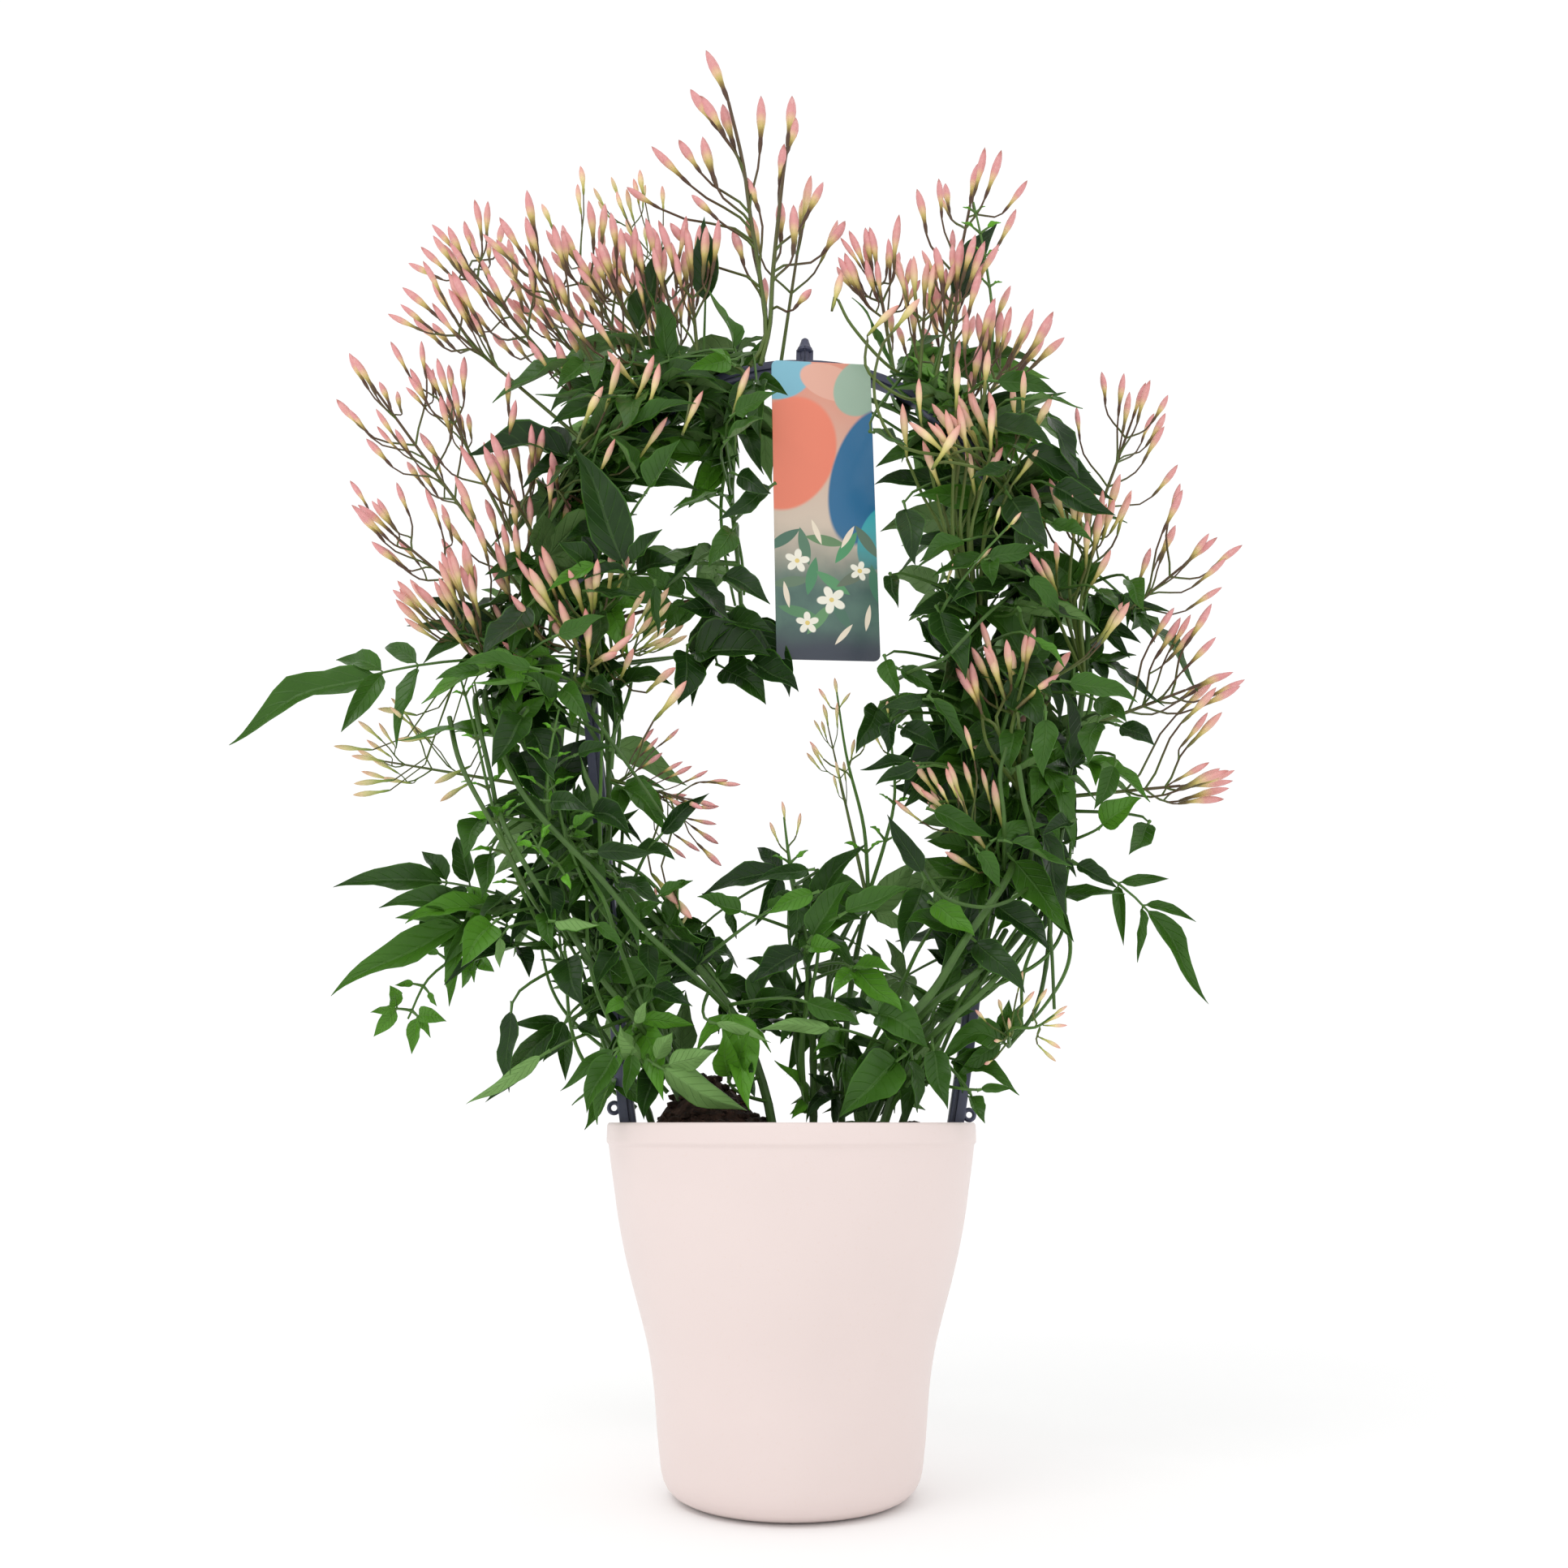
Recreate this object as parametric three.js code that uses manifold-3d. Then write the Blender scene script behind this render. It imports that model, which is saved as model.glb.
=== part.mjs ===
// Pink jasmine (Jasminum polyanthum) trained round a plastic hoop, in a cream cover pot.
// Millimetres, +Z up. The origin is the middle of the pot's flat foot, and -Y is the front.
import * as THREE from "three";
import { mergeVertices } from "three/addons/utils/BufferGeometryUtils.js";
import Module from "manifold-3d";

const wasm = await Module();
wasm.setup();
const { Vector2, Vector3 } = THREE;

// ---------------------------------------------------------------- driving sizes
const POT_HEIGHT = 140;
const RIM_RADIUS = 75;
const LIP_HEIGHT = 8.4;
const LIP_STEP = 0.8;
const POT_WALL = 2.4;
const POT_FLOOR = 3;
const POT_SEGMENTS = 28;

const LINER_RIM = 134;
const LINER_WALL = 0.9;
const LINER_SEGMENTS = 16;
const DRAIN_RADIUS = 4;
const DRAIN_COUNT = 4;

const SOIL_LEVEL = 127;
const SOIL_HEAP = 25;

const BAR_WIDTH = 6.5;
const BAR_DEPTH = 5;
const GROOVE_WIDTH = 1.3;
const GROOVE_DEPTH = 1.3;
const HOOP_LEAN = THREE.MathUtils.degToRad(1.1);
const HOOP_TOP = 483;
const HOOP_STEPS = 28;

const LABEL_WIDTH = 46;
const LABEL_HEIGHT = 144;
const LABEL_THICKNESS = 0.6;
const LABEL_YAW = THREE.MathUtils.degToRad(7);
const LABEL_ROLL = THREE.MathUtils.degToRad(-1);

const STEM_SIDES = 3;
const STEM_STEP = 19;
const BLADE = 0.7; // thickness of a leaf
const RACHIS = 0.75; // radius of a leaf's stalk
const PEDUNCLE = 0.95; // radius of a spray's stalk at its root
const BUD_LENGTH = 24;
const BUD_RADIUS = 2.1; // at the widest, 0.6 of the way up the bud
const GAP = 0.3; // left between pieces that touch

// ---------------------------------------------------------------- colours and finishes
const finish = (color, roughness) => new THREE.MeshStandardMaterial({ color, roughness, metalness: 0 });
const CREAM = finish(0xf3e3df, 0.6);
const BLACK_PLASTIC = finish(0x24262a, 0.6);
const PEAT = finish(0x3a2a22, 1);
const SLATE_PLASTIC = finish(0x4b4e62, 0.5);
const CARD = finish(0x5f9fb0, 0.4);
const LEAF_GREEN = finish(0x2c5230, 0.5);
const BUD_PINK = finish(0xdfa6a2, 0.6);

// ---------------------------------------------------------------- small helpers
const v3 = (x, y, z) => new Vector3(x, y, z);
const UP = v3(0, 0, 1);
const mix = (a, b, t) => a.clone().lerp(b, t);

// A repeatable stream of numbers between 0 and 1 for each seed.
function stream(seed) {
  let state = seed >>> 0;
  return () => {
    state = (state + 0x6d2b79f5) >>> 0;
    let t = state;
    t = Math.imul(t ^ (t >>> 15), t | 1);
    t ^= t + Math.imul(t ^ (t >>> 7), t | 61);
    return ((t ^ (t >>> 14)) >>> 0) / 4294967296;
  };
}

// A closed three.js geometry as a solid.
function solid(geometry) {
  const plain = new THREE.BufferGeometry().setAttribute("position", geometry.getAttribute("position"));
  if (geometry.index) plain.setIndex(geometry.index);
  const merged = mergeVertices(plain, 1e-4);
  const mesh = { numProp: 3, vertProperties: merged.attributes.position.array };
  return new wasm.Manifold(new wasm.Mesh({ ...mesh, triVerts: new Uint32Array(merged.index.array) }));
}

function geometryOf(body) {
  const mesh = body.getMesh();
  return new THREE.BufferGeometry()
    .setAttribute("position", new THREE.BufferAttribute(mesh.vertProperties, 3))
    .setIndex(new THREE.BufferAttribute(mesh.triVerts, 1));
}

// One body from bodies that overlap, without the specks that a cut can leave loose inside.
const SPECK = 0.01; // mm3
function join(bodies) {
  const whole = bodies.reduce((sum, body) => sum.add(body));
  const [main, ...rest] = whole.decompose().sort((a, b) => b.volume() - a.volume());
  if (rest.some((piece) => piece.volume() > SPECK)) throw new Error("a joined piece is in two");
  return main;
}

function faceted(points, triangles) {
  const positions = new Float32Array(points.flatMap((p) => [p.x, p.y, p.z]));
  return new THREE.BufferGeometry()
    .setAttribute("position", new THREE.BufferAttribute(positions, 3))
    .setIndex(triangles.flat());
}

// A body turned about Z from [radius, height] points that start and end on the axis.
function turned(profile, segments) {
  const points = profile.map(([r, z]) => new Vector2(r, z));
  return new THREE.LatheGeometry(points, segments).rotateX(Math.PI / 2);
}

// A rod through points whose thickness changes: one ring of corners at each point, and a sharp
// end where a first or last radius is 0. A rod with a sharp bend names the way across its plane.
function tapered(points, radii, sides, across) {
  const rings = [];
  const start = points[1].clone().sub(points[0]).normalize();
  let side = across ?? start.clone().cross(Math.abs(start.z) > 0.9 ? v3(0, 1, 0) : UP).normalize();
  points.forEach((p, i) => {
    const ahead = points[Math.min(i + 1, points.length - 1)];
    const along = ahead.clone().sub(points[Math.max(i - 1, 0)]).normalize();
    side = side.clone().addScaledVector(along, -side.dot(along)).normalize();
    const other = along.clone().cross(side);
    const corners = radii[i] ? sides : 1;
    const ring = [];
    for (let k = 0; k < corners; k++) {
      const turn = (2 * Math.PI * k) / sides;
      const corner = p.clone().addScaledVector(side, radii[i] * Math.cos(turn));
      ring.push(corner.addScaledVector(other, radii[i] * Math.sin(turn)));
    }
    rings.push(ring);
  });
  const faces = [];
  let base = 0;
  for (let i = 0; i < rings.length - 1; i++) {
    const next = base + rings[i].length;
    for (let k = 0; k < sides; k++) {
      const l = (k + 1) % sides;
      if (rings[i].length === 1) faces.push([base, next + l, next + k]);
      else if (rings[i + 1].length === 1) faces.push([base + k, base + l, next]);
      else faces.push([base + k, base + l, next + l], [base + k, next + l, next + k]);
    }
    base = next;
  }
  const fan = (first, turnedOver) => {
    for (let k = 1; k < sides - 1; k++) {
      faces.push(turnedOver ? [first, first + k + 1, first + k] : [first, first + k, first + k + 1]);
    }
  };
  if (rings[0].length > 1) fan(0, true);
  if (rings[rings.length - 1].length > 1) fan(base, false);
  return solid(faceted(rings.flat(), faces));
}

// ---------------------------------------------------------------- pots and soil
function coverPot() {
  const step = POT_HEIGHT - LIP_HEIGHT;
  const foot = [[0, 0], [39, 0], [46.5, 2.2], [50.4, 9]];
  const wall = [[52.2, 21], [54.2, 40], [58.4, 60.5], [64.2, 80], [69.2, 98], [72.8, 119]];
  const lip = [
    [RIM_RADIUS - LIP_STEP, step],
    [RIM_RADIUS, step + LIP_STEP],
    [RIM_RADIUS, POT_HEIGHT - 1.6],
    [RIM_RADIUS - 0.9, POT_HEIGHT],
    [RIM_RADIUS - POT_WALL, POT_HEIGHT - 0.4],
  ];
  const inside = [[72.8, 119], [64.2, 80], [54.2, 40], [51.6, 12]];
  const lining = inside.map(([r, z]) => [r - POT_WALL, z]);
  const floor = [[47, POT_FLOOR], [0, POT_FLOOR]];
  return turned([...foot, ...wall, ...lip, ...lining, ...floor], POT_SEGMENTS);
}

// The liner follows the cover pot's inside: [outer radius, height] from its foot to its rim.
const LINER = [[43, POT_FLOOR + GAP], [54, 58], [64.2, 97], [71.5, LINER_RIM]];

function linerRadius(z) {
  const i = LINER.findIndex(([, top]) => z <= top) || 1;
  const [r0, z0] = LINER[i - 1];
  const [r1, z1] = LINER[i];
  return r0 + ((z - z0) / (z1 - z0)) * (r1 - r0) - LINER_WALL;
}

function nurseryPot() {
  const bottom = LINER[0][1];
  const inside = [...LINER].reverse().map(([r, z]) => [r - LINER_WALL, Math.max(z, bottom + LINER_WALL)]);
  const profile = [[0, bottom], ...LINER, ...inside, [0, bottom + LINER_WALL]];
  const holes = Array.from({ length: DRAIN_COUNT }, (_, i) => {
    const turn = ((i + 0.5) * 2 * Math.PI) / DRAIN_COUNT;
    const hole = new THREE.CylinderGeometry(DRAIN_RADIUS, DRAIN_RADIUS, 4, 6).rotateX(Math.PI / 2);
    return solid(hole.translate(28 * Math.cos(turn), 28 * Math.sin(turn), bottom));
  });
  return holes.reduce((pot, hole) => pot.subtract(hole), solid(turned(profile, LINER_SEGMENTS)));
}

// Height of the soil: a level bed that falls off to the liner, a heap at the left and a low one
// at the right.
function soilHeight(x, y) {
  const r = Math.hypot(x, y) / 70;
  const bed = SOIL_LEVEL + 9 * (1 - r * r);
  const heap = SOIL_HEAP * Math.exp(-(((x + 36) / 19) ** 2) - ((y + 4) / 30) ** 2);
  const low = 8 * Math.exp(-(((x - 52) / 11) ** 2) - ((y + 2) / 24) ** 2);
  const crumb = 1.3 * Math.sin(0.31 * x + 1.7) * Math.cos(0.27 * y + 0.4);
  return bed + heap + low + crumb * (1 - r ** 4);
}

function soilBed(holes) {
  const rings = [15, 30, 45, 60];
  const edge = linerRadius(SOIL_LEVEL) - GAP;
  const floor = LINER[0][1] + LINER_WALL + GAP;
  const lower = [97, 58, floor].map((z) => [linerRadius(z) - GAP, z]);
  const vertices = [v3(0, 0, soilHeight(0, 0))];
  const ringAt = (radius, heightOf) => {
    for (let k = 0; k < LINER_SEGMENTS; k++) {
      const turn = (2 * Math.PI * k) / LINER_SEGMENTS;
      const x = radius * Math.cos(turn);
      const y = radius * Math.sin(turn);
      vertices.push(v3(x, y, heightOf(x, y)));
    }
  };
  rings.forEach((radius) => ringAt(radius, soilHeight));
  ringAt(edge, () => SOIL_LEVEL);
  lower.forEach(([radius, z]) => ringAt(radius, () => z));
  vertices.push(v3(0, 0, floor));
  const faces = [];
  const count = rings.length + 1 + lower.length;
  for (let k = 0; k < LINER_SEGMENTS; k++) {
    const l = (k + 1) % LINER_SEGMENTS;
    faces.push([0, 1 + k, 1 + l]);
    for (let i = 0; i < count - 1; i++) {
      const a = 1 + i * LINER_SEGMENTS;
      const b = a + LINER_SEGMENTS;
      faces.push([a + k, b + k, b + l], [a + k, b + l, a + l]);
    }
    const last = 1 + (count - 1) * LINER_SEGMENTS;
    faces.push([last + k, vertices.length - 1, last + l]);
  }
  return holes.reduce((bed, hole) => bed.subtract(hole), solid(faceted(vertices, faces)));
}

// ---------------------------------------------------------------- label
const LABEL_CENTRE = v3(15.2, -9.6, 408);

// Turns something drawn about the label's centre as the label hangs.
const hung = (geometry) =>
  geometry.rotateY(LABEL_ROLL).rotateZ(LABEL_YAW).translate(LABEL_CENTRE.x, LABEL_CENTRE.y, LABEL_CENTRE.z);

function label() {
  const w = LABEL_WIDTH / 2;
  const h = LABEL_HEIGHT / 2;
  const corner = 3;
  const shape = new THREE.Shape();
  shape.moveTo(-w + corner, -h);
  shape.lineTo(w - corner, -h);
  shape.quadraticCurveTo(w, -h, w, -h + corner);
  shape.lineTo(w, h - corner);
  shape.quadraticCurveTo(w, h, w - corner, h);
  shape.lineTo(-w + corner, h);
  shape.quadraticCurveTo(-w, h, -w, h - corner);
  shape.lineTo(-w, -h + corner);
  shape.quadraticCurveTo(-w, -h, -w + corner, -h);
  const settings = { depth: LABEL_THICKNESS, bevelEnabled: false, curveSegments: 3 };
  const card = new THREE.ExtrudeGeometry(shape, settings);
  return solid(hung(card.rotateX(Math.PI / 2)));
}

// ---------------------------------------------------------------- hoop
const LEG_FOOT = 100;
// The right side's middle line, from the foot of the leg to the crown: [x, z].
const LEG = [[57.5, LEG_FOOT], [62.6, 118], [68.2, 146], [82.4, 250], [95.6, 350]];
const ARCH = [[96.6, 378], [90, 415], [73, 447], [50, 469], [25, 480]];
const RIGHT_SIDE = [...LEG, ...ARCH].map(([x, z]) => v3(x, 0, z));
const LEFT_SIDE = RIGHT_SIDE.map((p) => v3(-p.x, 0, p.z));
const HOOP_COURSE = new THREE.CatmullRomCurve3([...LEFT_SIDE, v3(0, 0, HOOP_TOP), ...RIGHT_SIDE.reverse()]);

// The hoop leans a little to the right about the middle of the rim.
const leaned = (geometry) =>
  geometry.translate(0, 0, -POT_HEIGHT).rotateY(HOOP_LEAN).translate(0, 0, POT_HEIGHT);

function barSection(clearance, grooved) {
  const w = BAR_WIDTH / 2 + clearance;
  const d = BAR_DEPTH / 2 + clearance;
  const from = 0.6;
  const to = from + GROOVE_WIDTH;
  const cut = d - GROOVE_DEPTH;
  const groove = grooved ? [[d, from], [cut, from], [cut, to], [d, to]] : [];
  const outline = [[d, -w], ...groove, [d, w], [-d, w], [-d, -w]];
  return new THREE.Shape(outline.map(([x, y]) => new Vector2(x, y)));
}

function hoopBar(clearance, grooved) {
  const settings = { steps: HOOP_STEPS, bevelEnabled: false, extrudePath: HOOP_COURSE };
  return solid(leaned(new THREE.ExtrudeGeometry(barSection(clearance, grooved), settings)));
}

const POST_TOP = 498;
const POST_RADIUS = 2.3;
const CAP_RADIUS = 3.4;
const EYELET_AT = [73, 144.4]; // distance from the middle, and height
const CLIP_REACH = 7.4; // from behind the label into the bar

function hoop() {
  const pieces = [hoopBar(0, true)];
  const neck = POST_TOP - 4.5;
  const post = [[0, HOOP_TOP - 1], [POST_RADIUS, HOOP_TOP - 1], [POST_RADIUS, neck]];
  const cap = [[CAP_RADIUS, neck], [CAP_RADIUS - 0.3, POST_TOP - 1.6], [1.4, POST_TOP], [0, POST_TOP + 0.2]];
  pieces.push(solid(leaned(turned([...post, ...cap], 8))));
  const rib = new THREE.BoxGeometry(1.2, 6.6, neck - HOOP_TOP);
  pieces.push(solid(leaned(rib.translate(0, 0, (HOOP_TOP + neck) / 2))));
  const clip = new THREE.BoxGeometry(9, CLIP_REACH, 7);
  pieces.push(solid(hung(clip.translate(0, GAP + CLIP_REACH / 2, LABEL_HEIGHT / 2 - 2))));
  for (const sign of [-1, 1]) {
    const eyelet = new THREE.TorusGeometry(2.1, 0.9, 3, 7).rotateX(Math.PI / 2);
    pieces.push(solid(leaned(eyelet.translate(sign * EYELET_AT[0], 0, EYELET_AT[1]))));
  }
  return join(pieces);
}

// ---------------------------------------------------------------- stems
// name, radius, the stem that carries it ("" = the soil), and its course from root to tip
const STEMS = [
  ["stem_left_front", 1.9, "", [[-4, -18, 112], [-10, -20, 150], [-22, -22, 180], [-42, -24, 206],
    [-66, -22, 232], [-90, -18, 257], [-108, -15, 286], [-121, -13, 312], [-130, -12, 336]]],
  ["stem_left_low", 1.7, "", [[-30, -12, 112], [-46, -14, 152], [-64, -15, 184], [-80, -12, 206],
    [-96, -4, 236], [-107, 5, 268], [-113, 8, 298]]],
  ["stem_left_outer", 1.5, "", [[-50, 4, 112], [-62, 8, 150], [-77, 12, 172], [-91, 14, 192],
    [-104, 14, 214], [-119, 12, 234]]],
  ["stem_left_back", 1.7, "", [[-28, 16, 112], [-46, 17, 160], [-64, 17, 205], [-80, 17, 250],
    [-88, 17, 300], [-92, 17, 342]]],
  ["stem_left_inner", 1.4, "stem_left_front", [[-72, -18, 240], [-77, -12, 262], [-79, -9, 300],
    [-84, -9, 340], [-86, -10, 376]]],
  ["stem_left_mid", 1.6, "stem_left_low", [[-113, 8, 300], [-116, 2, 328], [-116, -7, 362],
    [-109, -11, 396], [-97, -13, 424]]],
  ["stem_left_top", 1.6, "stem_left_mid", [[-97, -13, 426], [-80, -13, 450], [-56, -12, 470],
    [-34, -11, 481], [-14, -10, 485]]],
  ["stem_back_left", 1.6, "stem_left_back", [[-92, 17, 344], [-97, 15, 386], [-88, 15, 424],
    [-64, 15, 456], [-34, 14, 473], [-6, 13, 482]]],
  ["stem_crown", 1.3, "stem_back_left", [[-24, 12, 474], [-26, 8, 452], [-27, 3, 420], [-24, 0, 388],
    [-22, -2, 362]]],
  ["stem_right_front", 1.9, "", [[28, -16, 112], [46, -18, 163], [66, -20, 192], [81, -19, 224],
    [91, -17, 254], [99, -15, 288], [104, -13, 320]]],
  ["stem_right_low", 1.7, "", [[36, -3, 112], [50, -4, 152], [64, -7, 181], [84, -12, 204], [99, -14, 222],
    [112, -10, 250], [119, -7, 284]]],
  ["stem_right_back", 1.7, "", [[20, 16, 112], [44, 17, 160], [66, 17, 200], [82, 17, 250],
    [93, 17, 300], [100, 17, 342]]],
  ["stem_right_mid", 1.6, "stem_right_front", [[104, -13, 322], [109, -11, 350], [108, -11, 384],
    [97, -12, 418]]],
  ["stem_right_outer", 1.5, "stem_right_low", [[119, -7, 286], [127, -4, 318], [132, -2, 350],
    [131, 0, 386]]],
  ["stem_right_top", 1.6, "stem_right_mid", [[97, -12, 420], [85, -13, 444], [66, -13, 462],
    [46, -12, 475]]],
  ["stem_back_right", 1.6, "stem_right_back", [[101, 17, 344], [105, 15, 384], [97, 15, 424],
    [78, 15, 450], [52, 14, 468], [28, 13, 478]]],
  ["stem_right_inner", 1.4, "stem_right_front", [[90, -16, 252], [83, -12, 270], [79, -10, 300],
    [80, -9, 330], [86, -9, 362]]],
  ["stem_right_hanging", 1.1, "stem_right_low", [[113, -12, 252], [108, -16, 236], [106, -16, 212],
    [99, -16, 184], [88, -15, 170]]],
  ["stem_centre", 1.6, "", [[8, -8, 112], [9, -9, 150], [8, -9, 190], [4, -8, 222], [0, -7, 242]]],
  ["stem_centre_right", 1.5, "", [[20, 0, 112], [21, 0, 150], [25, 0, 195], [33, -1, 234]]],
];

const courses = new Map();
const leafy = new Map(); // the bodies that make up each leafy stem, its bare stem first

// The point of a course nearest to a place.
function nearest(course, place) {
  const steps = 120;
  const reaches = course.getSpacedPoints(steps).map((p) => p.distanceTo(place));
  return reaches.indexOf(Math.min(...reaches)) / steps;
}

// The place just off a carrier's skin where a branch starts, and the way out from the carrier.
// The branch heads for the place, or leaves squarely.
function seat(carrier, place, radius, squarely) {
  const course = courses.get(carrier);
  const t = nearest(course, place);
  const axis = course.getPointAt(t);
  const heading = place.clone().sub(axis).normalize();
  const out = heading.clone();
  const tangent = course.getTangentAt(t);
  if (t > 0.001 && t < 0.999) out.addScaledVector(tangent, -out.dot(tangent)).normalize();
  if (squarely) heading.copy(out);
  const [bare] = leafy.get(carrier);
  const root = axis.clone();
  const clear = () => {
    const stub = [-GAP, 4 * radius].map((s) => root.clone().addScaledVector(heading, s));
    return tapered(stub, [radius + GAP, radius + GAP], 6).intersect(bare).isEmpty();
  };
  while (!clear()) root.addScaledVector(out, GAP / 3);
  return { root, out };
}

function rod(course, radius) {
  const section = new THREE.Shape();
  for (let k = 0; k < STEM_SIDES; k++) {
    const turn = (2 * Math.PI * k) / STEM_SIDES;
    section[k ? "lineTo" : "moveTo"](radius * Math.cos(turn), radius * Math.sin(turn));
  }
  const steps = Math.max(2, Math.round(course.getLength() / STEM_STEP));
  return solid(new THREE.ExtrudeGeometry(section, { steps, bevelEnabled: false, extrudePath: course }));
}

function layCourse([name, radius, carrier, points]) {
  const places = points.map((p) => v3(...p));
  if (carrier) {
    const { root, out } = seat(carrier, mix(places[0], places[1], 0.25), radius, true);
    places.splice(0, 1, root, root.clone().addScaledVector(out, 3 * radius));
  }
  const course = new THREE.CatmullRomCurve3(places);
  courses.set(name, course);
  leafy.set(name, [rod(course, radius)]);
}

// A thin dry tendril that bridges the top of the ring's hole, grown from the inner left stem.
const DRY_TENDRIL = [[-85, -10, 352], [-70, -8, 358], [-50, -6, 364], [-31, -4, 369]];

// ---------------------------------------------------------------- leaves
const FOLD = 0.3; // how far a leaflet's edges stand above its midrib, as a share of its half width
const WAVE = 0.9;
const TERMINAL_ROWS = [[0.2, 0.8], [0.48, 1], [0.76, 0.55]];
const SHORT_ROWS = [[0.32, 1], [0.7, 0.68]];
const SHORT_UNDER = 50;

// A thin closed blade under an open sheet of triangles, with its border walled.
function blade(points, normals, upper) {
  const edges = new Set();
  for (const [a, b, c] of upper) edges.add(a + " " + b).add(b + " " + c).add(c + " " + a);
  const below = points.length;
  const walls = [];
  for (const edge of edges) {
    const [i, j] = edge.split(" ").map(Number);
    if (!edges.has(j + " " + i)) walls.push([i, i + below, j + below], [i, j + below, j]);
  }
  const under = upper.map(([a, b, c]) => [a + below, c + below, b + below]);
  const sunk = points.map((p, i) => p.clone().addScaledVector(normals[i], -BLADE));
  return solid(faceted([...points, ...sunk], [...upper, ...under, ...walls]));
}

// A pinnate leaf from a stem to its tip in one blade: a narrow stalk, pairs of leaflets cut to it,
// and a larger, waved end leaflet, each folded along its midrib.
function leaf(root, tip, endLength, pairs, facing, sway, rng) {
  const points = [];
  const normals = [];
  const triangles = [];
  const put = (point, normal) => {
    normals.push(normal);
    return points.push(point) - 1;
  };
  const length = tip.distanceTo(root);
  const bend = mix(root, tip, 0.5).addScaledVector(UP, 0.16 * length).add(sway);
  const arch = new THREE.QuadraticBezierCurve3(root, bend, tip);
  const share = Math.min(0.8, Math.max(0.12, 1 - endLength / length));
  const twist = (rng() - 0.5) * 0.7;
  const frame = (t) => {
    const along = arch.getTangentAt(t);
    const face = facing.clone().applyAxisAngle(along, twist);
    face.addScaledVector(along, -face.dot(along)).normalize();
    return { at: arch.getPointAt(t), along, face, side: along.clone().cross(face) };
  };
  const stalkPair = (t) => {
    const { at, face, side } = frame(t);
    return [1, -1].map((sign) => put(at.clone().addScaledVector(side, sign * RACHIS), face));
  };

  // The stalk, with a short stretch for each pair of leaflets to grow from.
  const stretch = 3.2 / length;
  const places = Array.from({ length: pairs }, (_, k) => share * (0.94 - (0.6 * k) / Math.max(pairs, 1.6)));
  let last = stalkPair(0);
  for (const place of places.reverse()) {
    const from = stalkPair(place - stretch);
    const to = stalkPair(place);
    triangles.push([last[1], last[0], from[0]], [last[1], from[0], from[1]]);
    triangles.push([from[1], from[0], to[0]], [from[1], to[0], to[1]]);
    const { along, face, side } = frame(place);
    for (const k of [0, 1]) {
      const sign = k ? -1 : 1;
      const spread = 0.95 + 0.25 * rng();
      const size = Math.min(30, Math.max(15, endLength * 0.46 * (0.85 + 0.3 * rng())));
      const half = size * (0.2 + 0.04 * rng());
      const way = along.clone().multiplyScalar(Math.cos(spread));
      way.addScaledVector(side, sign * Math.sin(spread)).addScaledVector(UP, -0.3 * rng()).normalize();
      const across = side.clone().multiplyScalar(-sign * Math.cos(spread));
      across.addScaledVector(along, Math.sin(spread)).normalize();
      const start = mix(points[from[k]], points[to[k]], 0.5);
      const out = (s, w, h) => {
        const corner = start.clone().addScaledVector(way, s * size).addScaledVector(across, w);
        return put(corner.addScaledVector(face, h), face);
      };
      const lift = FOLD * half;
      const rib = out(0.44, 0, -0.12 * lift);
      const near = out(0.44, -half, lift);
      const far = out(0.44, half, lift);
      const end = out(1, 0, -0.14 * size);
      const loop = [from[k], near, end, far, to[k]];
      if (k) loop.reverse();
      loop.forEach((corner, i) => triangles.push([corner, loop[(i + 1) % loop.length], rib]));
    }
    last = to;
  }
  const neck = stalkPair(share);
  triangles.push([last[1], last[0], neck[0]], [last[1], neck[0], neck[1]]);

  // The end leaflet, row by row to its drip tip.
  const rows = endLength < SHORT_UNDER ? SHORT_ROWS : TERMINAL_ROWS;
  const halfWidth = endLength * (0.135 + 0.03 * rng());
  let row = [neck[0], null, neck[1]];
  rows.forEach(([s, width], i) => {
    const { at, face, side } = frame(share + (1 - share) * s);
    const half = halfWidth * width;
    const ripple = (i % 2 ? 1 : -1) * WAVE;
    const edge = (sign) => {
      const border = at.clone().addScaledVector(side, sign * half);
      return put(border.addScaledVector(face, FOLD * half + sign * ripple), face);
    };
    const next = [edge(1), put(at, face), edge(-1)];
    if (row[1] === null) {
      triangles.push([row[2], row[0], next[1]], [row[0], next[0], next[1]], [row[2], next[1], next[2]]);
    } else {
      triangles.push([row[1], row[0], next[0]], [row[1], next[0], next[1]]);
      triangles.push([row[2], row[1], next[1]], [row[2], next[1], next[2]]);
    }
    row = next;
  });
  const end = put(tip.clone(), frame(1).face);
  triangles.push([row[1], row[0], end], [row[2], row[1], end]);
  return blade(points, normals, triangles);
}

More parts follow.
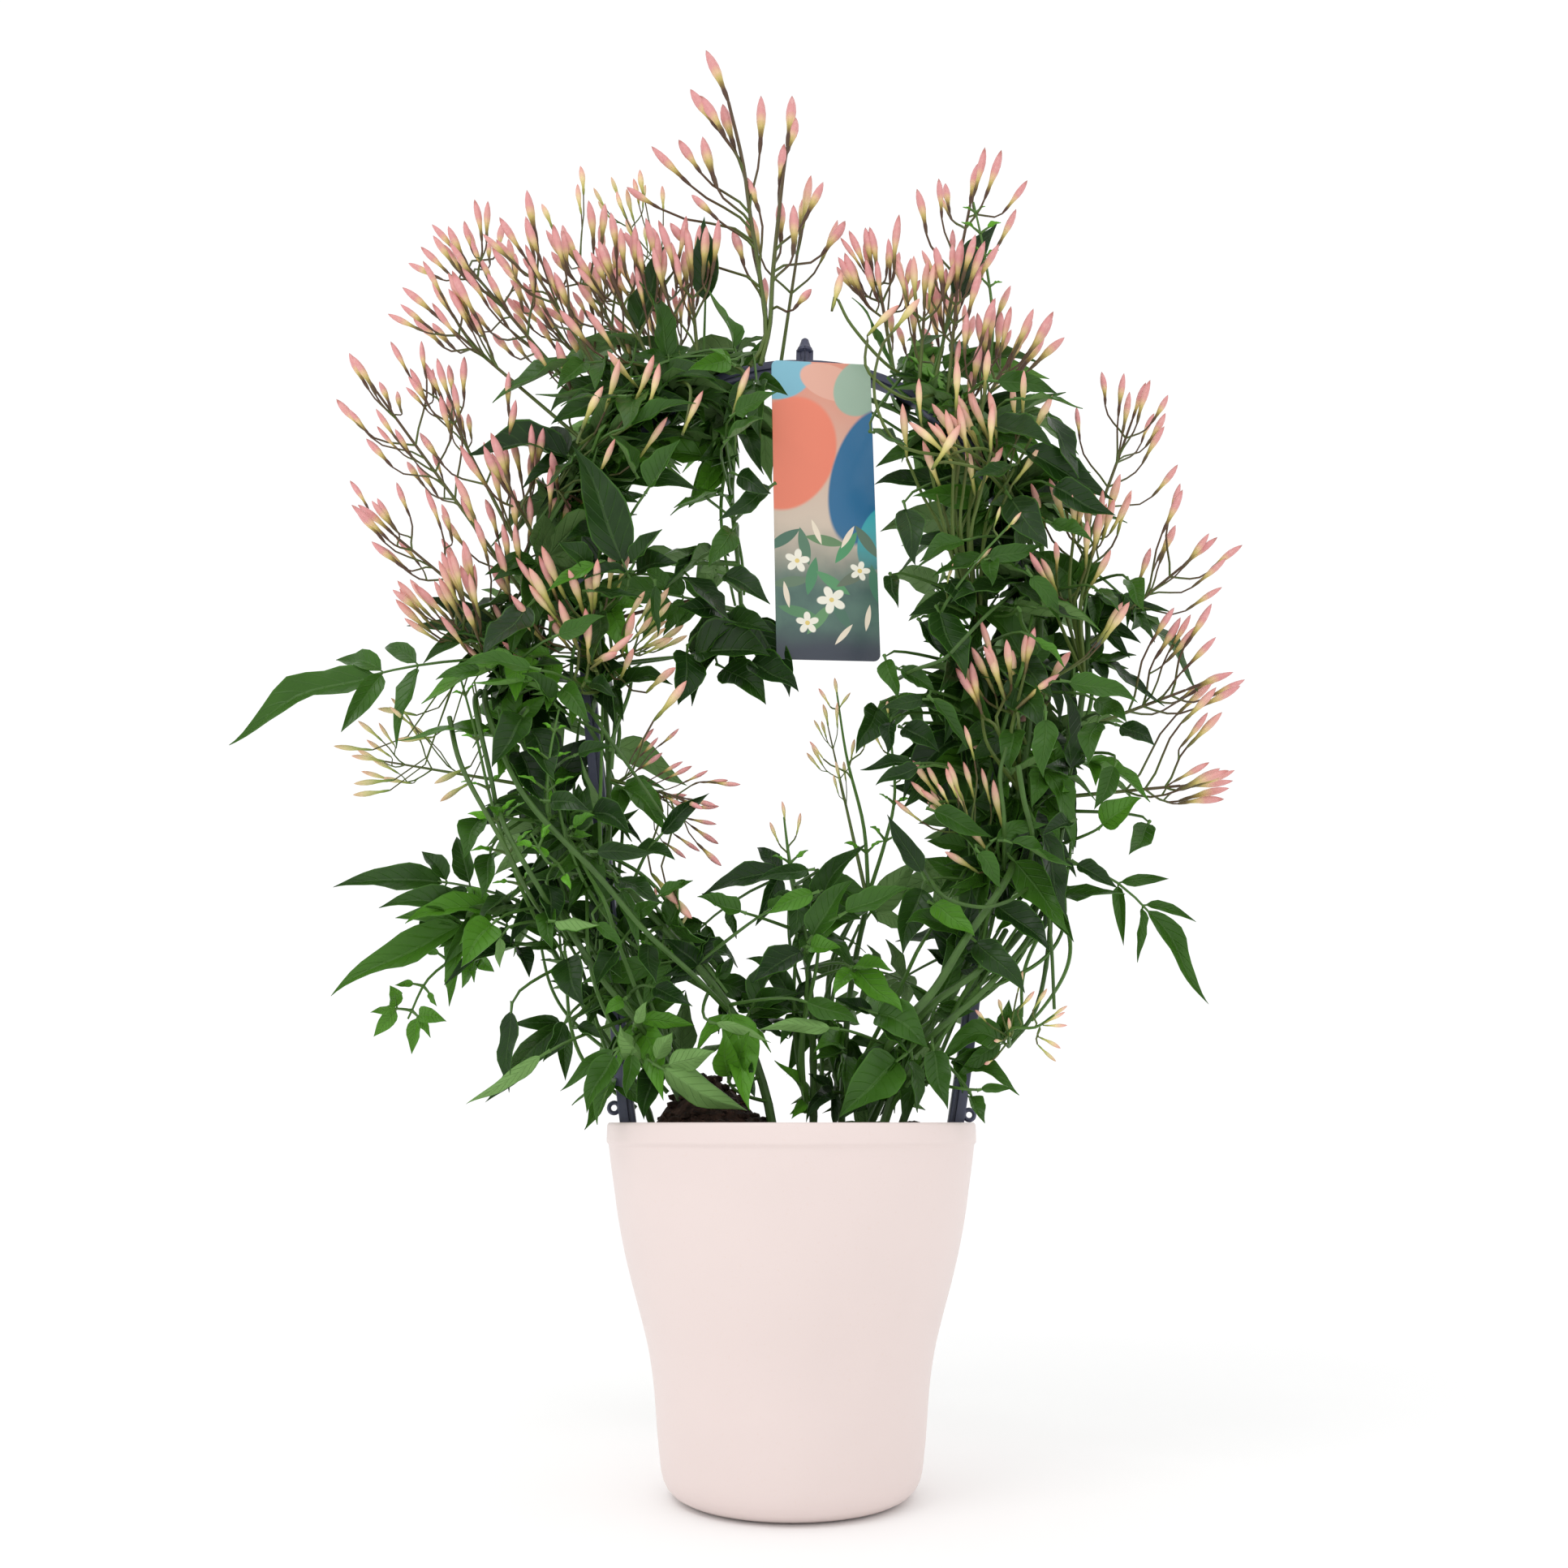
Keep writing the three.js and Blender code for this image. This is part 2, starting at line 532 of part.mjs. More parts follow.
// carrier, place along it (0 root, 1 tip), the leaf's tip, end leaflet's length, pairs of leaflets
const LEAVES = [
  ["stem_left_front", 1, [-237, -26, 296], 66, 2],
  ["stem_left_front", 0.84, [-159, -46, 291], 58, 1],
  ["stem_left_front", 0.44, [-42, -48, 232], 36, 1],
  ["stem_left_front", 0.3, [-15, -52, 144], 46, 1],
  ["stem_left_outer", 1, [-198, 8, 238], 46, 2],
  ["stem_left_outer", 0.96, [-187, -14, 189], 58, 1],
  ["stem_left_outer", 0.84, [-141, -22, 195], 38, 1],
  ["stem_left_outer", 0.6, [-128, 10, 148], 44, 1],
  ["stem_left_outer", 0.4, [-82, -18, 137], 30, 1],
  ["stem_left_low", 0.42, [-48, -44, 149], 36, 1],
  ["stem_left_low", 0.9, [-140, 6, 262], 34, 1],
  ["stem_left_inner", 0.98, [-86, -38, 423], 60, 1],
  ["stem_left_inner", 0.6, [-49, -34, 319], 34, 1],
  ["stem_left_inner", 0.3, [-50, -30, 256], 34, 1],
  ["stem_left_mid", 0.55, [-146, -24, 343], 34, 1],
  ["stem_left_top", 0.06, [-144, -26, 427], 54, 1],
  ["stem_left_top", 0.5, [-71, -56, 422], 40, 1],
  ["stem_left_top", 0.9, [-37, -24, 509], 44, 0],
  ["stem_left_top", 0.97, [-13, -42, 426], 38, 1],
  ["stem_back_left", 0.5, [-124, 38, 470], 40, 1],
  ["stem_back_left", 0.2, [-132, 48, 396], 40, 0],
  ["stem_back_left", 0.8, [-52, 50, 500], 40, 0],
  ["stem_back_left", 0.95, [-10, 46, 446], 40, 0],
  ["stem_crown", 1, [-44, -14, 314], 36, 1],
  ["stem_crown", 0.97, [0, -16, 317], 42, 1],
  ["stem_crown", 0.7, [-54, -26, 362], 36, 1],
  ["stem_crown", 0.5, [-50, -30, 398], 36, 1],
  ["stem_right_top", 0.98, [28, -34, 498], 34, 0],
  ["stem_right_top", 0.75, [96, -12, 554], 46, 0],
  ["stem_right_top", 0.3, [123, -24, 457], 44, 1],
  ["stem_right_mid", 0.9, [147, -20, 395], 46, 1],
  ["stem_right_mid", 0.5, [67, -50, 347], 42, 1],
  ["stem_right_outer", 1, [178, -8, 323], 42, 2],
  ["stem_right_outer", 0.55, [159, -16, 313], 36, 1],
  ["stem_right_outer", 0.1, [149, -24, 270], 32, 1],
  ["stem_back_right", 0.15, [140, 46, 366], 40, 0],
  ["stem_back_right", 0.45, [138, 44, 440], 40, 1],
  ["stem_back_right", 0.72, [96, 46, 500], 40, 0],
  ["stem_back_right", 0.95, [22, 48, 440], 40, 0],
  ["stem_right_inner", 0.7, [28, -8, 298], 30, 2],
  ["stem_right_inner", 0.35, [46, -20, 268], 30, 1],
  ["stem_right_inner", 0.9, [61, -46, 308], 38, 1],
  ["stem_right_low", 0.86, [174, -12, 189], 46, 2],
  ["stem_right_low", 0.7, [136, -26, 230], 38, 1],
  ["stem_right_front", 0.8, [107, -52, 215], 46, 1],
  ["stem_right_front", 0.5, [43, -54, 215], 38, 1],
  ["stem_right_front", 0.34, [18, -50, 141], 38, 0],
  ["stem_right_low", 0.3, [90, -26, 151], 30, 1],
  ["stem_left_back", 0.35, [-88, 50, 168], 40, 0],
  ["stem_left_back", 0.6, [-118, 46, 236], 40, 0],
  ["stem_left_back", 0.85, [-48, 42, 292], 40, 0],
  ["stem_right_back", 0.35, [90, 50, 176], 40, 0],
  ["stem_right_back", 0.6, [122, 46, 240], 40, 0],
  ["stem_right_back", 0.85, [54, 42, 284], 40, 0],
  ["stem_centre", 1, [-37, -18, 232], 38, 1],
  ["stem_centre", 0.8, [30, -30, 252], 36, 1],
  ["stem_centre_right", 0.98, [10, -22, 211], 42, 0],
  ["stem_centre_right", 0.9, [58, 14, 250], 34, 1],
  ["stem_centre_right", 0.6, [42, -46, 181], 34, 0],
  ["stem_centre_right", 0.5, [30, 46, 196], 38, 0],
];

// ---------------------------------------------------------------- sprays of buds
// name, carrier, a place near its root, its top, how wide it opens, pairs of buds, bud size
const SPRAYS = [
  ["top_tall", "stem_left_top", [-36, -12, 480], [-40, -14, 642], 34, 4, 1],
  ["top_right", "stem_left_top", [-20, -11, 484], [1, -8, 625], 24, 3, 1],
  ["crown_low", "stem_back_left", [-8, 13, 482], [8, 10, 584], 18, 2, 1],
  ["left_top_a", "stem_left_top", [-92, -13, 434], [-177, -24, 510], 20, 2, 0.95],
  ["left_top_b", "stem_left_top", [-86, -13, 442], [-170, -8, 554], 24, 3, 0.95],
  ["left_top_c", "stem_left_top", [-78, -13, 452], [-134, -26, 545], 22, 3, 0.95],
  ["left_top_d", "stem_left_top", [-68, -12, 461], [-109, -6, 552], 22, 3, 1],
  ["left_top_e", "stem_left_top", [-60, -12, 467], [-89, -30, 527], 22, 3, 1],
  ["left_top_f", "stem_left_top", [-52, -12, 472], [-65, -10, 551], 22, 3, 1],
  ["left_top_g", "stem_left_top", [-44, -12, 476], [-47, -32, 532], 20, 2, 1],
  ["left_top_h", "stem_back_left", [-70, 15, 448], [-124, 26, 532], 24, 2, 1],
  ["left_top_i", "stem_back_left", [-52, 14, 464], [-74, 34, 540], 24, 2, 1],
  ["left_far", "stem_left_mid", [-116, -5, 350], [-200, -16, 479], 30, 4, 0.85],
  ["left_far_inner", "stem_left_mid", [-116, -7, 362], [-166, -20, 474], 22, 3, 0.85],
  ["left_far_low", "stem_left_mid", [-116, 0, 336], [-189, -26, 402], 20, 2, 0.85],
  ["left_cluster_a", "stem_left_mid", [-112, -10, 384], [-130, -34, 423], 22, 2, 1],
  ["left_cluster_b", "stem_left_mid", [-104, -12, 408], [-103, -40, 420], 18, 2, 1],
  ["left_low", "stem_left_front", [-126, -13, 328], [-160, -34, 362], 22, 3, 0.9],
  ["left_front", "stem_left_inner", [-83, -9, 330], [-92, -50, 362], 18, 2, 1],
  ["hole_left", "stem_left_inner", [-78, -10, 284], [-29, -22, 277], 26, 4, 0.85],
  ["right_top_tall", "stem_right_top", [70, -13, 459], [90, -10, 586], 22, 2, 1],
  ["right_top_a", "stem_right_top", [52, -12, 471], [37, -16, 547], 16, 3, 1],
  ["right_top_b", "stem_right_top", [62, -13, 465], [63, -24, 524], 18, 2, 1],
  ["right_top_c", "stem_right_top", [76, -13, 454], [78, -30, 531], 14, 3, 1],
  ["right_top_d", "stem_right_top", [84, -13, 446], [110, -22, 494], 20, 3, 1],
  ["right_back", "stem_back_right", [74, 15, 453], [92, 34, 532], 22, 2, 1],
  ["right_mid_front", "stem_right_mid", [106, -11, 394], [78, -44, 444], 22, 3, 0.95],
  ["right_outer_top", "stem_right_outer", [131, 0, 384], [163, -10, 470], 26, 3, 0.8],
  ["right_cluster", "stem_right_outer", [131, -2, 362], [128, -32, 405], 22, 3, 0.95],
  ["right_outer", "stem_right_outer", [130, -3, 340], [189, -14, 392], 28, 2, 0.85],
  ["right_low_a", "stem_right_outer", [123, -6, 300], [190, -18, 328], 26, 4, 0.9],
  ["right_low_b", "stem_right_low", [118, -8, 274], [185, -22, 279], 28, 3, 0.9],
  ["right_front_a", "stem_right_front", [100, -15, 292], [78, -52, 328], 16, 2, 1],
  ["right_front_b", "stem_right_front", [103, -14, 312], [114, -48, 327], 16, 2, 1],
  ["right_inner_low", "stem_right_front", [89, -18, 246], [52, -44, 270], 20, 2, 0.85],
];

// Unripe sprays, all green, that grow in one piece with their stem.
const GREEN_SPRAYS = [
  ["stem_back_left", [-44, 14, 470], [-88, 8, 592], 26, 3, 0.62],
  ["stem_left_low", [-110, 7, 284], [-190, -6, 294], 24, 3, 0.6],
  ["stem_left_inner", [-84, -9, 336], [-50, -30, 339], 16, 2, 0.8],
  ["stem_centre_right", [32, -1, 232], [14, -4, 318], 14, 3, 0.45],
  ["stem_right_hanging", [90, -15, 172], [103, -26, 176], 16, 3, 0.7],
];

const SHORT_SPRAY = 90;

// The places along one stalk, from its bud's apex back to its root: apex, spindle and base.
function budPlaces(from, out, up, length, size) {
  const budLength = BUD_LENGTH * size;
  const base = from.clone().addScaledVector(out, length * 0.72).addScaledVector(up, length * 0.8);
  const aim = out.clone().multiplyScalar(0.3).addScaledVector(up, 0.95).normalize();
  const spindle = base.clone().addScaledVector(aim, budLength * 0.6);
  const apex = base.clone().addScaledVector(aim, budLength);
  return [apex, spindle, base];
}

function sprayBody(root, top, width, pairs, size, sway, rng) {
  const span = top.clone().sub(root);
  const budLength = BUD_LENGTH * size;
  const bend = mix(root, top, 0.45).add(sway);
  const neck = top.clone().addScaledVector(span.clone().normalize(), -budLength);
  const axis = new THREE.QuadraticBezierCurve3(root, bend, neck);
  const up = axis.getTangentAt(1);
  const spindle = mix(neck, top, 0.62);
  const bends = span.length() < SHORT_SPRAY ? 2 : 3;
  const ladder = Array.from({ length: bends + 1 }, (_, i) => axis.getPointAt(i / bends));
  const rung = (t) => mix(ladder[Math.floor(t * bends)], ladder[Math.floor(t * bends) + 1], (t * bends) % 1);
  const thinning = ladder.map((_, i) => PEDUNCLE - (i / bends) * (PEDUNCLE - 0.75 * size));
  const parts = [tapered([...ladder, spindle, top], [...thinning, BUD_RADIUS * size, 0], 3)];
  const turn = rng() * Math.PI;
  for (let k = 0; k < pairs; k++) {
    const t = 0.93 - (0.56 * k) / pairs;
    const from = rung(t);
    const tangent = axis.getTangentAt(t);
    const side = tangent.clone().cross(v3(0, 1, 0)).normalize();
    const reach = width * (0.34 + (0.66 * (k + 1)) / pairs) * (0.8 + 0.35 * rng());
    const rise = mix(up, UP, 0.35).normalize();
    const [one, two] = [0, 1].map((half) => {
      const azimuth = turn + k * 1.35 + half * Math.PI + (rng() - 0.5) * 0.7;
      const out = side.clone().multiplyScalar(Math.cos(azimuth));
      out.addScaledVector(tangent.clone().cross(side), 0.75 * Math.sin(azimuth)).normalize();
      const length = reach * (0.8 + 0.4 * rng());
      return budPlaces(from, out, rise, length, size * (0.88 + 0.2 * rng()));
    });
    const thick = 0.75 * size + 0.1;
    const widest = BUD_RADIUS * size;
    const across = one[2].clone().sub(from).cross(two[2].clone().sub(from)).normalize();
    const places = [...one, from, ...two.reverse()];
    parts.push(tapered(places, [0, widest, thick, 0.35, thick, widest, 0], 3, across));
  }
  return join(parts);
}

// ---------------------------------------------------------------- growing it
const placed = []; // { node, body, box } of everything that stands so far

const boxOf = (body) => {
  const { min, max } = body.boundingBox();
  return new THREE.Box3(v3(...min), v3(...max));
};

function settle(node, body) {
  placed.push({ node, body, box: boxOf(body) });
}

function clashes(node, body) {
  const box = boxOf(body);
  return placed.some((other) => {
    if (other.node === node || !other.box.intersectsBox(box)) return false;
    const common = other.body.intersect(body);
    return !common.isEmpty() && common.volume() > 1e-5;
  });
}

// Bends a piece aside, further at each try, until it clears the other nodes.
const TRIES = 90;

function bentClear(node, rng, make) {
  for (let i = 0; i < TRIES; i++) {
    const reach = i * 0.3;
    const sway = v3(rng() - 0.5, rng() - 0.5, rng() - 0.5).multiplyScalar(2 * reach);
    const body = make(sway, i);
    if (!clashes(node, body)) return body;
  }
  throw new Error(`no clear way for a piece of ${node}`);
}

const group = new THREE.Group();
group.name = "pink_jasmine";

function add(name, geometry, material) {
  const mesh = new THREE.Mesh(geometry, material);
  mesh.name = name;
  group.add(mesh);
}

const framework = hoop();
const card = label();
settle("hoop", framework);
settle("label", card);

for (const stem of STEMS) {
  layCourse(stem);
  const [name] = stem;
  settle(name, leafy.get(name)[0]);
}

const tendril = DRY_TENDRIL.map((p) => v3(...p));
leafy.get("stem_left_inner").push(tapered(tendril, [0.8, 0.75, 0.7, 0.6], 3));
settle("stem_left_inner", leafy.get("stem_left_inner")[1]);

const greenRng = stream(77);
for (const [carrier, near, top, width, pairs, size] of GREEN_SPRAYS) {
  const course = courses.get(carrier);
  const root = course.getPointAt(nearest(course, v3(...near)));
  const seed = Math.floor(greenRng() * 1e6);
  const body = bentClear(carrier, greenRng, (sway) =>
    sprayBody(root, v3(...top).addScaledVector(sway, 0.6), width, pairs, size, sway, stream(seed)),
  );
  leafy.get(carrier).push(body);
  settle(carrier, body);
}

const sprayBodies = new Map();
SPRAYS.forEach(([name, carrier, near, top, width, pairs, size], i) => {
  const rng = stream(500 + i);
  const seed = Math.floor(rng() * 1e6);
  const aim = v3(...top);
  const { root } = seat(carrier, mix(v3(...near), aim, 0.12), PEDUNCLE, false);
  const body = bentClear(name, rng, (sway) => {
    const goal = aim.clone().addScaledVector(sway, 0.6);
    return sprayBody(root, goal, width, pairs, size, sway, stream(seed));
  });
  sprayBodies.set(name, body);
  settle(name, body);
});

// Leaves face outward from the ring's own core and up.
const RING_CENTRE = v3(0, 0, 320);
LEAVES.forEach(([carrier, place, end, endLength, pairs], i) => {
  const rng = stream(900 + i);
  const seed = Math.floor(rng() * 1e6);
  const root = courses.get(carrier).getPointAt(place);
  const aim = v3(...end);
  const outward = aim.clone().sub(RING_CENTRE).setY(0).normalize();
  const facing = outward.multiplyScalar(0.35).add(v3(0, Math.sign(aim.y - 8) * 0.8, 0.7)).normalize();
  const body = bentClear(carrier, rng, (sway, tries) => {
    const goal = aim.clone().add(sway);
    return leaf(root, goal, endLength, tries > 60 ? 0 : pairs, facing, sway, stream(seed));
  });
  leafy.get(carrier).push(body);
  settle(carrier, body);
});

// Plain holes in the soil for the hoop's legs and for the stems that come out of it.
const rooted = STEMS.filter(([, , carrier]) => !carrier);
const stemHoles = rooted.map(([name, radius]) => rod(courses.get(name), radius + GAP * 1.5));

add("cover_pot", coverPot(), CREAM);
add("nursery_pot", geometryOf(nurseryPot()), BLACK_PLASTIC);
add("soil", geometryOf(soilBed([hoopBar(GAP, false), ...stemHoles])), PEAT);
add("hoop", geometryOf(framework), SLATE_PLASTIC);
add("label", geometryOf(card), CARD);
for (const [name, parts] of leafy) {
  add(name, geometryOf(join(parts)), LEAF_GREEN);
}
for (const [name, body] of sprayBodies) add("spray_" + name, geometryOf(body), BUD_PINK);

export default group;
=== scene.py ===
import math
import random

import bpy
import numpy as np
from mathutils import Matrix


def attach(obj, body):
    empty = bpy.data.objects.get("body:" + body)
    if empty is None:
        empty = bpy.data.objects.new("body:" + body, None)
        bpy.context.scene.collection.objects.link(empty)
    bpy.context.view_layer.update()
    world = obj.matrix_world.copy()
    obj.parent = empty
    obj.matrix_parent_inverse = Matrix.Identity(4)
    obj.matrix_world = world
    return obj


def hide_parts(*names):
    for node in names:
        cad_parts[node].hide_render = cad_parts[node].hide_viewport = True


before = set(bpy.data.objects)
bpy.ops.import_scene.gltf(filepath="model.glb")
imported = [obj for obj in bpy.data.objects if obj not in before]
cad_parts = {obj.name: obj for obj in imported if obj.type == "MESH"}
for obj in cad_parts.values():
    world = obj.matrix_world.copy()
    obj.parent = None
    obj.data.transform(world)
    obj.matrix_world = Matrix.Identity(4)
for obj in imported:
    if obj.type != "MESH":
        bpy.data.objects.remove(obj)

bl_info = {
    "name": "Pink jasmine on a hoop",
    "version": (1, 0, 0),
    "blender": (4, 5, 0),
    "location": "3D View > Sidebar > Jasmine",
    "description": "Dresses a pink jasmine trained round a hoop in a cream cover pot",
    "category": "Object",
}

# Sizes and places are in millimetres, as the plant is measured, and become metres in each mesh.
MM = 0.001
UP = np.array([0.0, 0.0, 1.0])
ACROSS = np.array([1.0, 0.0, 0.0])
BACK = np.array([0.0, 1.0, 0.0])

# The pot's rim radius and height, and the label's width and height.
RIM_RADIUS, POT_HEIGHT = 75, 140
LABEL_WIDTH, LABEL_HEIGHT = 46, 144

# The camera's place and upward tilt, its lens and sensor, and the steps across its square frame.
EYE = np.array([-3.0, -592.0, 140.0])
TILT = math.radians(13.5692)
LENS = 32.194
SENSOR = 36
FRAME = 1932


# ---------------------------------------------------------------- lines and numbers
def unit(v):
    return v / max(np.linalg.norm(v), 1e-9)


def mix(a, b, t):
    return a + (b - a) * t


def stream(seed):
    """A repeatable stream of numbers between 0 and 1, the same as the solids are grown from."""
    state = seed & 0xFFFFFFFF

    def draw():
        nonlocal state
        state = (state + 0x6D2B79F5) & 0xFFFFFFFF
        t = state
        t = ((t ^ (t >> 15)) * (t | 1)) & 0xFFFFFFFF
        t ^= (t + (t ^ (t >> 7)) * (t | 61)) & 0xFFFFFFFF
        return ((t ^ (t >> 14)) & 0xFFFFFFFF) / 4294967296

    return draw


def scattered(seed):
    """A stream whose own seed is drawn, so that streams from seeds in a row differ at once."""
    return stream(int(stream(seed)() * 1e6))


class Line:
    """A line through close points, read by the share of its length."""

    def __init__(self, points):
        self.points = np.asarray(points, float)
        steps = np.linalg.norm(np.diff(self.points, axis=0), axis=1)
        reach = np.concatenate([[0], np.cumsum(steps)])
        self.length = reach[-1]
        self.shares = reach / self.length

    def at(self, share):
        share = np.clip(share, 0, 1)
        return np.stack([np.interp(share, self.shares, self.points[:, k]) for k in range(3)], -1)

    def along(self, share):
        ahead = self.at(np.clip(np.asarray(share) + 0.012, 0, 1))
        behind = self.at(np.clip(np.asarray(share) - 0.012, 0, 1))
        way = ahead - behind
        return way / np.maximum(np.linalg.norm(way, axis=-1, keepdims=True), 1e-9)

    def nearest(self, place):
        return self.shares[np.argmin(np.linalg.norm(self.points - place, axis=1))]


def arch(a, b, c):
    t = np.linspace(0, 1, 25)[:, None]
    return Line((1 - t) ** 2 * a + 2 * t * (1 - t) * b + t * t * c)


def through(places):
    """A smooth line through places, with no loops at sharp turns."""
    p = [np.asarray(q, float) for q in places]
    p = [2 * p[0] - p[1], *p, 2 * p[-1] - p[-2]]
    t = np.linspace(0, 1, 17)[:, None]
    points = [p[1][None]]
    for a, b, c, d in zip(p, p[1:], p[2:], p[3:]):
        u, v, w = (max(math.sqrt(np.linalg.norm(e)), 1e-6) for e in (b - a, c - b, d - c))
        leave = ((b - a) / u - (c - a) / (u + v) + (c - b) / v) * v
        arrive = ((c - b) / v - (d - b) / (v + w) + (d - c) / w) * v
        curve = b + leave * t + (3 * (c - b) - 2 * leave - arrive) * t**2
        points.append((curve + (2 * (b - c) + leave + arrive) * t**3)[1:])
    return Line(np.concatenate(points))


# ---------------------------------------------------------------- modelling helpers
def deselect():
    if bpy.context.object and bpy.context.object.mode != "OBJECT":
        bpy.ops.object.mode_set(mode="OBJECT")
    bpy.ops.object.select_all(action="DESELECT")


def pick(obj):
    """Makes an object the active one, and the only one selected."""
    deselect()
    bpy.context.view_layer.objects.active = obj
    obj.select_set(True)


def edit_all():
    bpy.ops.object.mode_set(mode="EDIT")
    bpy.ops.mesh.select_all(action="SELECT")


def face_outwards():
    bpy.ops.mesh.select_all(action="SELECT")
    bpy.ops.mesh.normals_make_consistent(inside=False)


def start(add, **sizes):
    """A new primitive on its own, in edit mode with everything selected."""
    deselect()
    add(**sizes)
    edit_all()
    return bpy.context.object


def settle(obj):
    """Out of edit mode, with the object's place put into its mesh."""
    bpy.ops.object.mode_set(mode="OBJECT")
    bpy.ops.object.transform_apply(location=True, rotation=True, scale=True)
    return obj


def modify(obj, kind, **settings):
    pick(obj)
    modifier = obj.modifiers.new(kind.title(), kind)
    for key, value in settings.items():
        setattr(modifier, key, value)
    bpy.ops.object.modifier_apply(modifier=modifier.name)


def smooth(obj, degrees):
    pick(obj)
    bpy.ops.object.shade_smooth_by_angle(angle=math.radians(degrees))


def wear(obj, *materials):
    obj.data.materials.clear()
    for material in materials:
        obj.data.materials.append(material)


def declare(obj, nodes):
    """Rides a piece on the root body, and hides the solids it stands for."""
    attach(obj, "root")
    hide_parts(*nodes)


def new_object(name, mesh):
    obj = bpy.data.objects.new(name, mesh)
    bpy.context.collection.objects.link(obj)
    return obj


def spun(name, profile, segments):
    """A body turned about the pot's axis from a profile of [radius, height] in millimetres."""
    mesh = bpy.data.meshes.new(name)
    points = [(r * MM, 0, z * MM) for r, z in profile]
    mesh.from_pydata(points, [(i, i + 1) for i in range(len(points) - 1)], [])
    obj = new_object(name, mesh)
    pick(obj)
    edit_all()
    bpy.ops.mesh.spin(steps=segments, angle=2 * math.pi, center=(0, 0, 0), axis=(0, 0, 1))
    bpy.ops.mesh.select_all(action="SELECT")
    bpy.ops.mesh.remove_doubles(threshold=1e-6)
    face_outwards()
    bpy.ops.object.mode_set(mode="OBJECT")
    return obj


def wrap(obj, place):
    """Sets each corner's course coordinates from its point, by a rule."""
    layer = obj.data.uv_layers[0]
    for loop in obj.data.loops:
        layer.data[loop.index].uv = place(obj.data.vertices[loop.vertex_index].co)


def round_axis(point):
    """The share of a turn about Z at which a point lies, and its height."""
    return math.atan2(point.y, point.x) / (2 * math.pi) + 0.5, point.z


def read(items, key, kind=int, width=1):
    """One value of each item of a mesh, as an array."""
    values = np.empty(len(items) * width, kind)
    items.foreach_get(key, values)
    return values if width == 1 else values.reshape(-1, width)


class Shape:
    """A shape modelled once, kept as arrays, whose copies are bent to their places."""

    def __init__(self, obj):
        mesh = obj.data
        self.points = read(mesh.vertices, "co", float, 3)
        self.corners = read(mesh.loops, "vertex_index")
        self.counts = read(mesh.polygons, "loop_total")
        self.slots = read(mesh.polygons, "material_index")
        self.uv = read(mesh.uv_layers[0].data, "uv", float, 2)
        bpy.data.objects.remove(obj)


class Gather:
    """Collects bent copies of shapes and makes one piece of them."""

    def __init__(self):
        self.parts = []

    def put(self, shape, points, slot=0, tone=0.5, age=1.0):
        self.parts.append((shape, points, slot, tone, age))

    def piece(self, name, materials, nodes, slot, sharp=35):
        shapes, places, slots, tones, ages = zip(*self.parts)
        sizes = [len(p) for p in places]
        bases = np.cumsum([0, *sizes[:-1]])
        corners = np.concatenate([shape.corners + base for shape, base in zip(shapes, bases)])
        counts = np.concatenate([shape.counts for shape in shapes])
        indices = np.concatenate([shape.slots + first for shape, first in zip(shapes, slots)])
        mesh = bpy.data.meshes.new(name)
        mesh.vertices.add(sum(sizes))
        mesh.vertices.foreach_set("co", np.concatenate(places).ravel() * MM)
        mesh.loops.add(len(corners))
        mesh.loops.foreach_set("vertex_index", corners)
        mesh.polygons.add(len(counts))
        mesh.polygons.foreach_set("loop_start", np.concatenate([[0], np.cumsum(counts)[:-1]]))
        mesh.polygons.foreach_set("material_index", indices)
        course = mesh.uv_layers.new(name="course")
        course.data.foreach_set("uv", np.concatenate([shape.uv for shape in shapes]).ravel())
        for label, values in (("tone", tones), ("age", ages)):
            attribute = mesh.attributes.new(label, "FLOAT", "POINT")
            attribute.data.foreach_set("value", np.repeat(values, sizes))
        for material in materials:
            mesh.materials.append(material)
        mesh.update(calc_edges=True)
        mesh.validate()
        obj = new_object(name, mesh)
        smooth(obj, sharp)
        declare(obj, nodes)


RODS = {}


def rod_shape(sides, rings):
    """A straight rod of radius 1 from 0 to 1 along Z, its rings an even share apart."""
    if (sides, rings) not in RODS:
        obj = start(bpy.ops.mesh.primitive_circle_add, vertices=sides, radius=1, fill_type="NGON")
        for _ in range(rings):
            bpy.ops.mesh.extrude_region_move(TRANSFORM_OT_translate={"value": (0, 0, 1 / rings)})
        face_outwards()
        wrap(settle(obj), round_axis)
        RODS[sides, rings] = Shape(obj)
    return RODS[sides, rings]


def frames(line, shares, reference):
    """The way along a line, and two square ways across it that hold to a reference."""
    along = line.along(shares)
    side = reference - along * (along @ reference)[:, None]
    side /= np.maximum(np.linalg.norm(side, axis=1, keepdims=True), 1e-9)
    return along, side, np.cross(along, side)


def bent_rod(gather, line, radii, sides=6, rings=8, slot=0, tone=0.5, age=1.0, reference=BACK):
    """A copy of the rod bent along a line, its radius read from (share, radius) pairs."""
    shape = rod_shape(sides, rings)
    share = shape.points[:, 2]
    _, side, other = frames(line, share, reference)
    at, size = zip(*radii)
    radius = np.interp(share, at, size)[:, None]
    places = line.at(share) + side * shape.points[:, :1] * radius + other * shape.points[:, 1:2] * radius
    gather.put(shape, places, slot, tone, age)


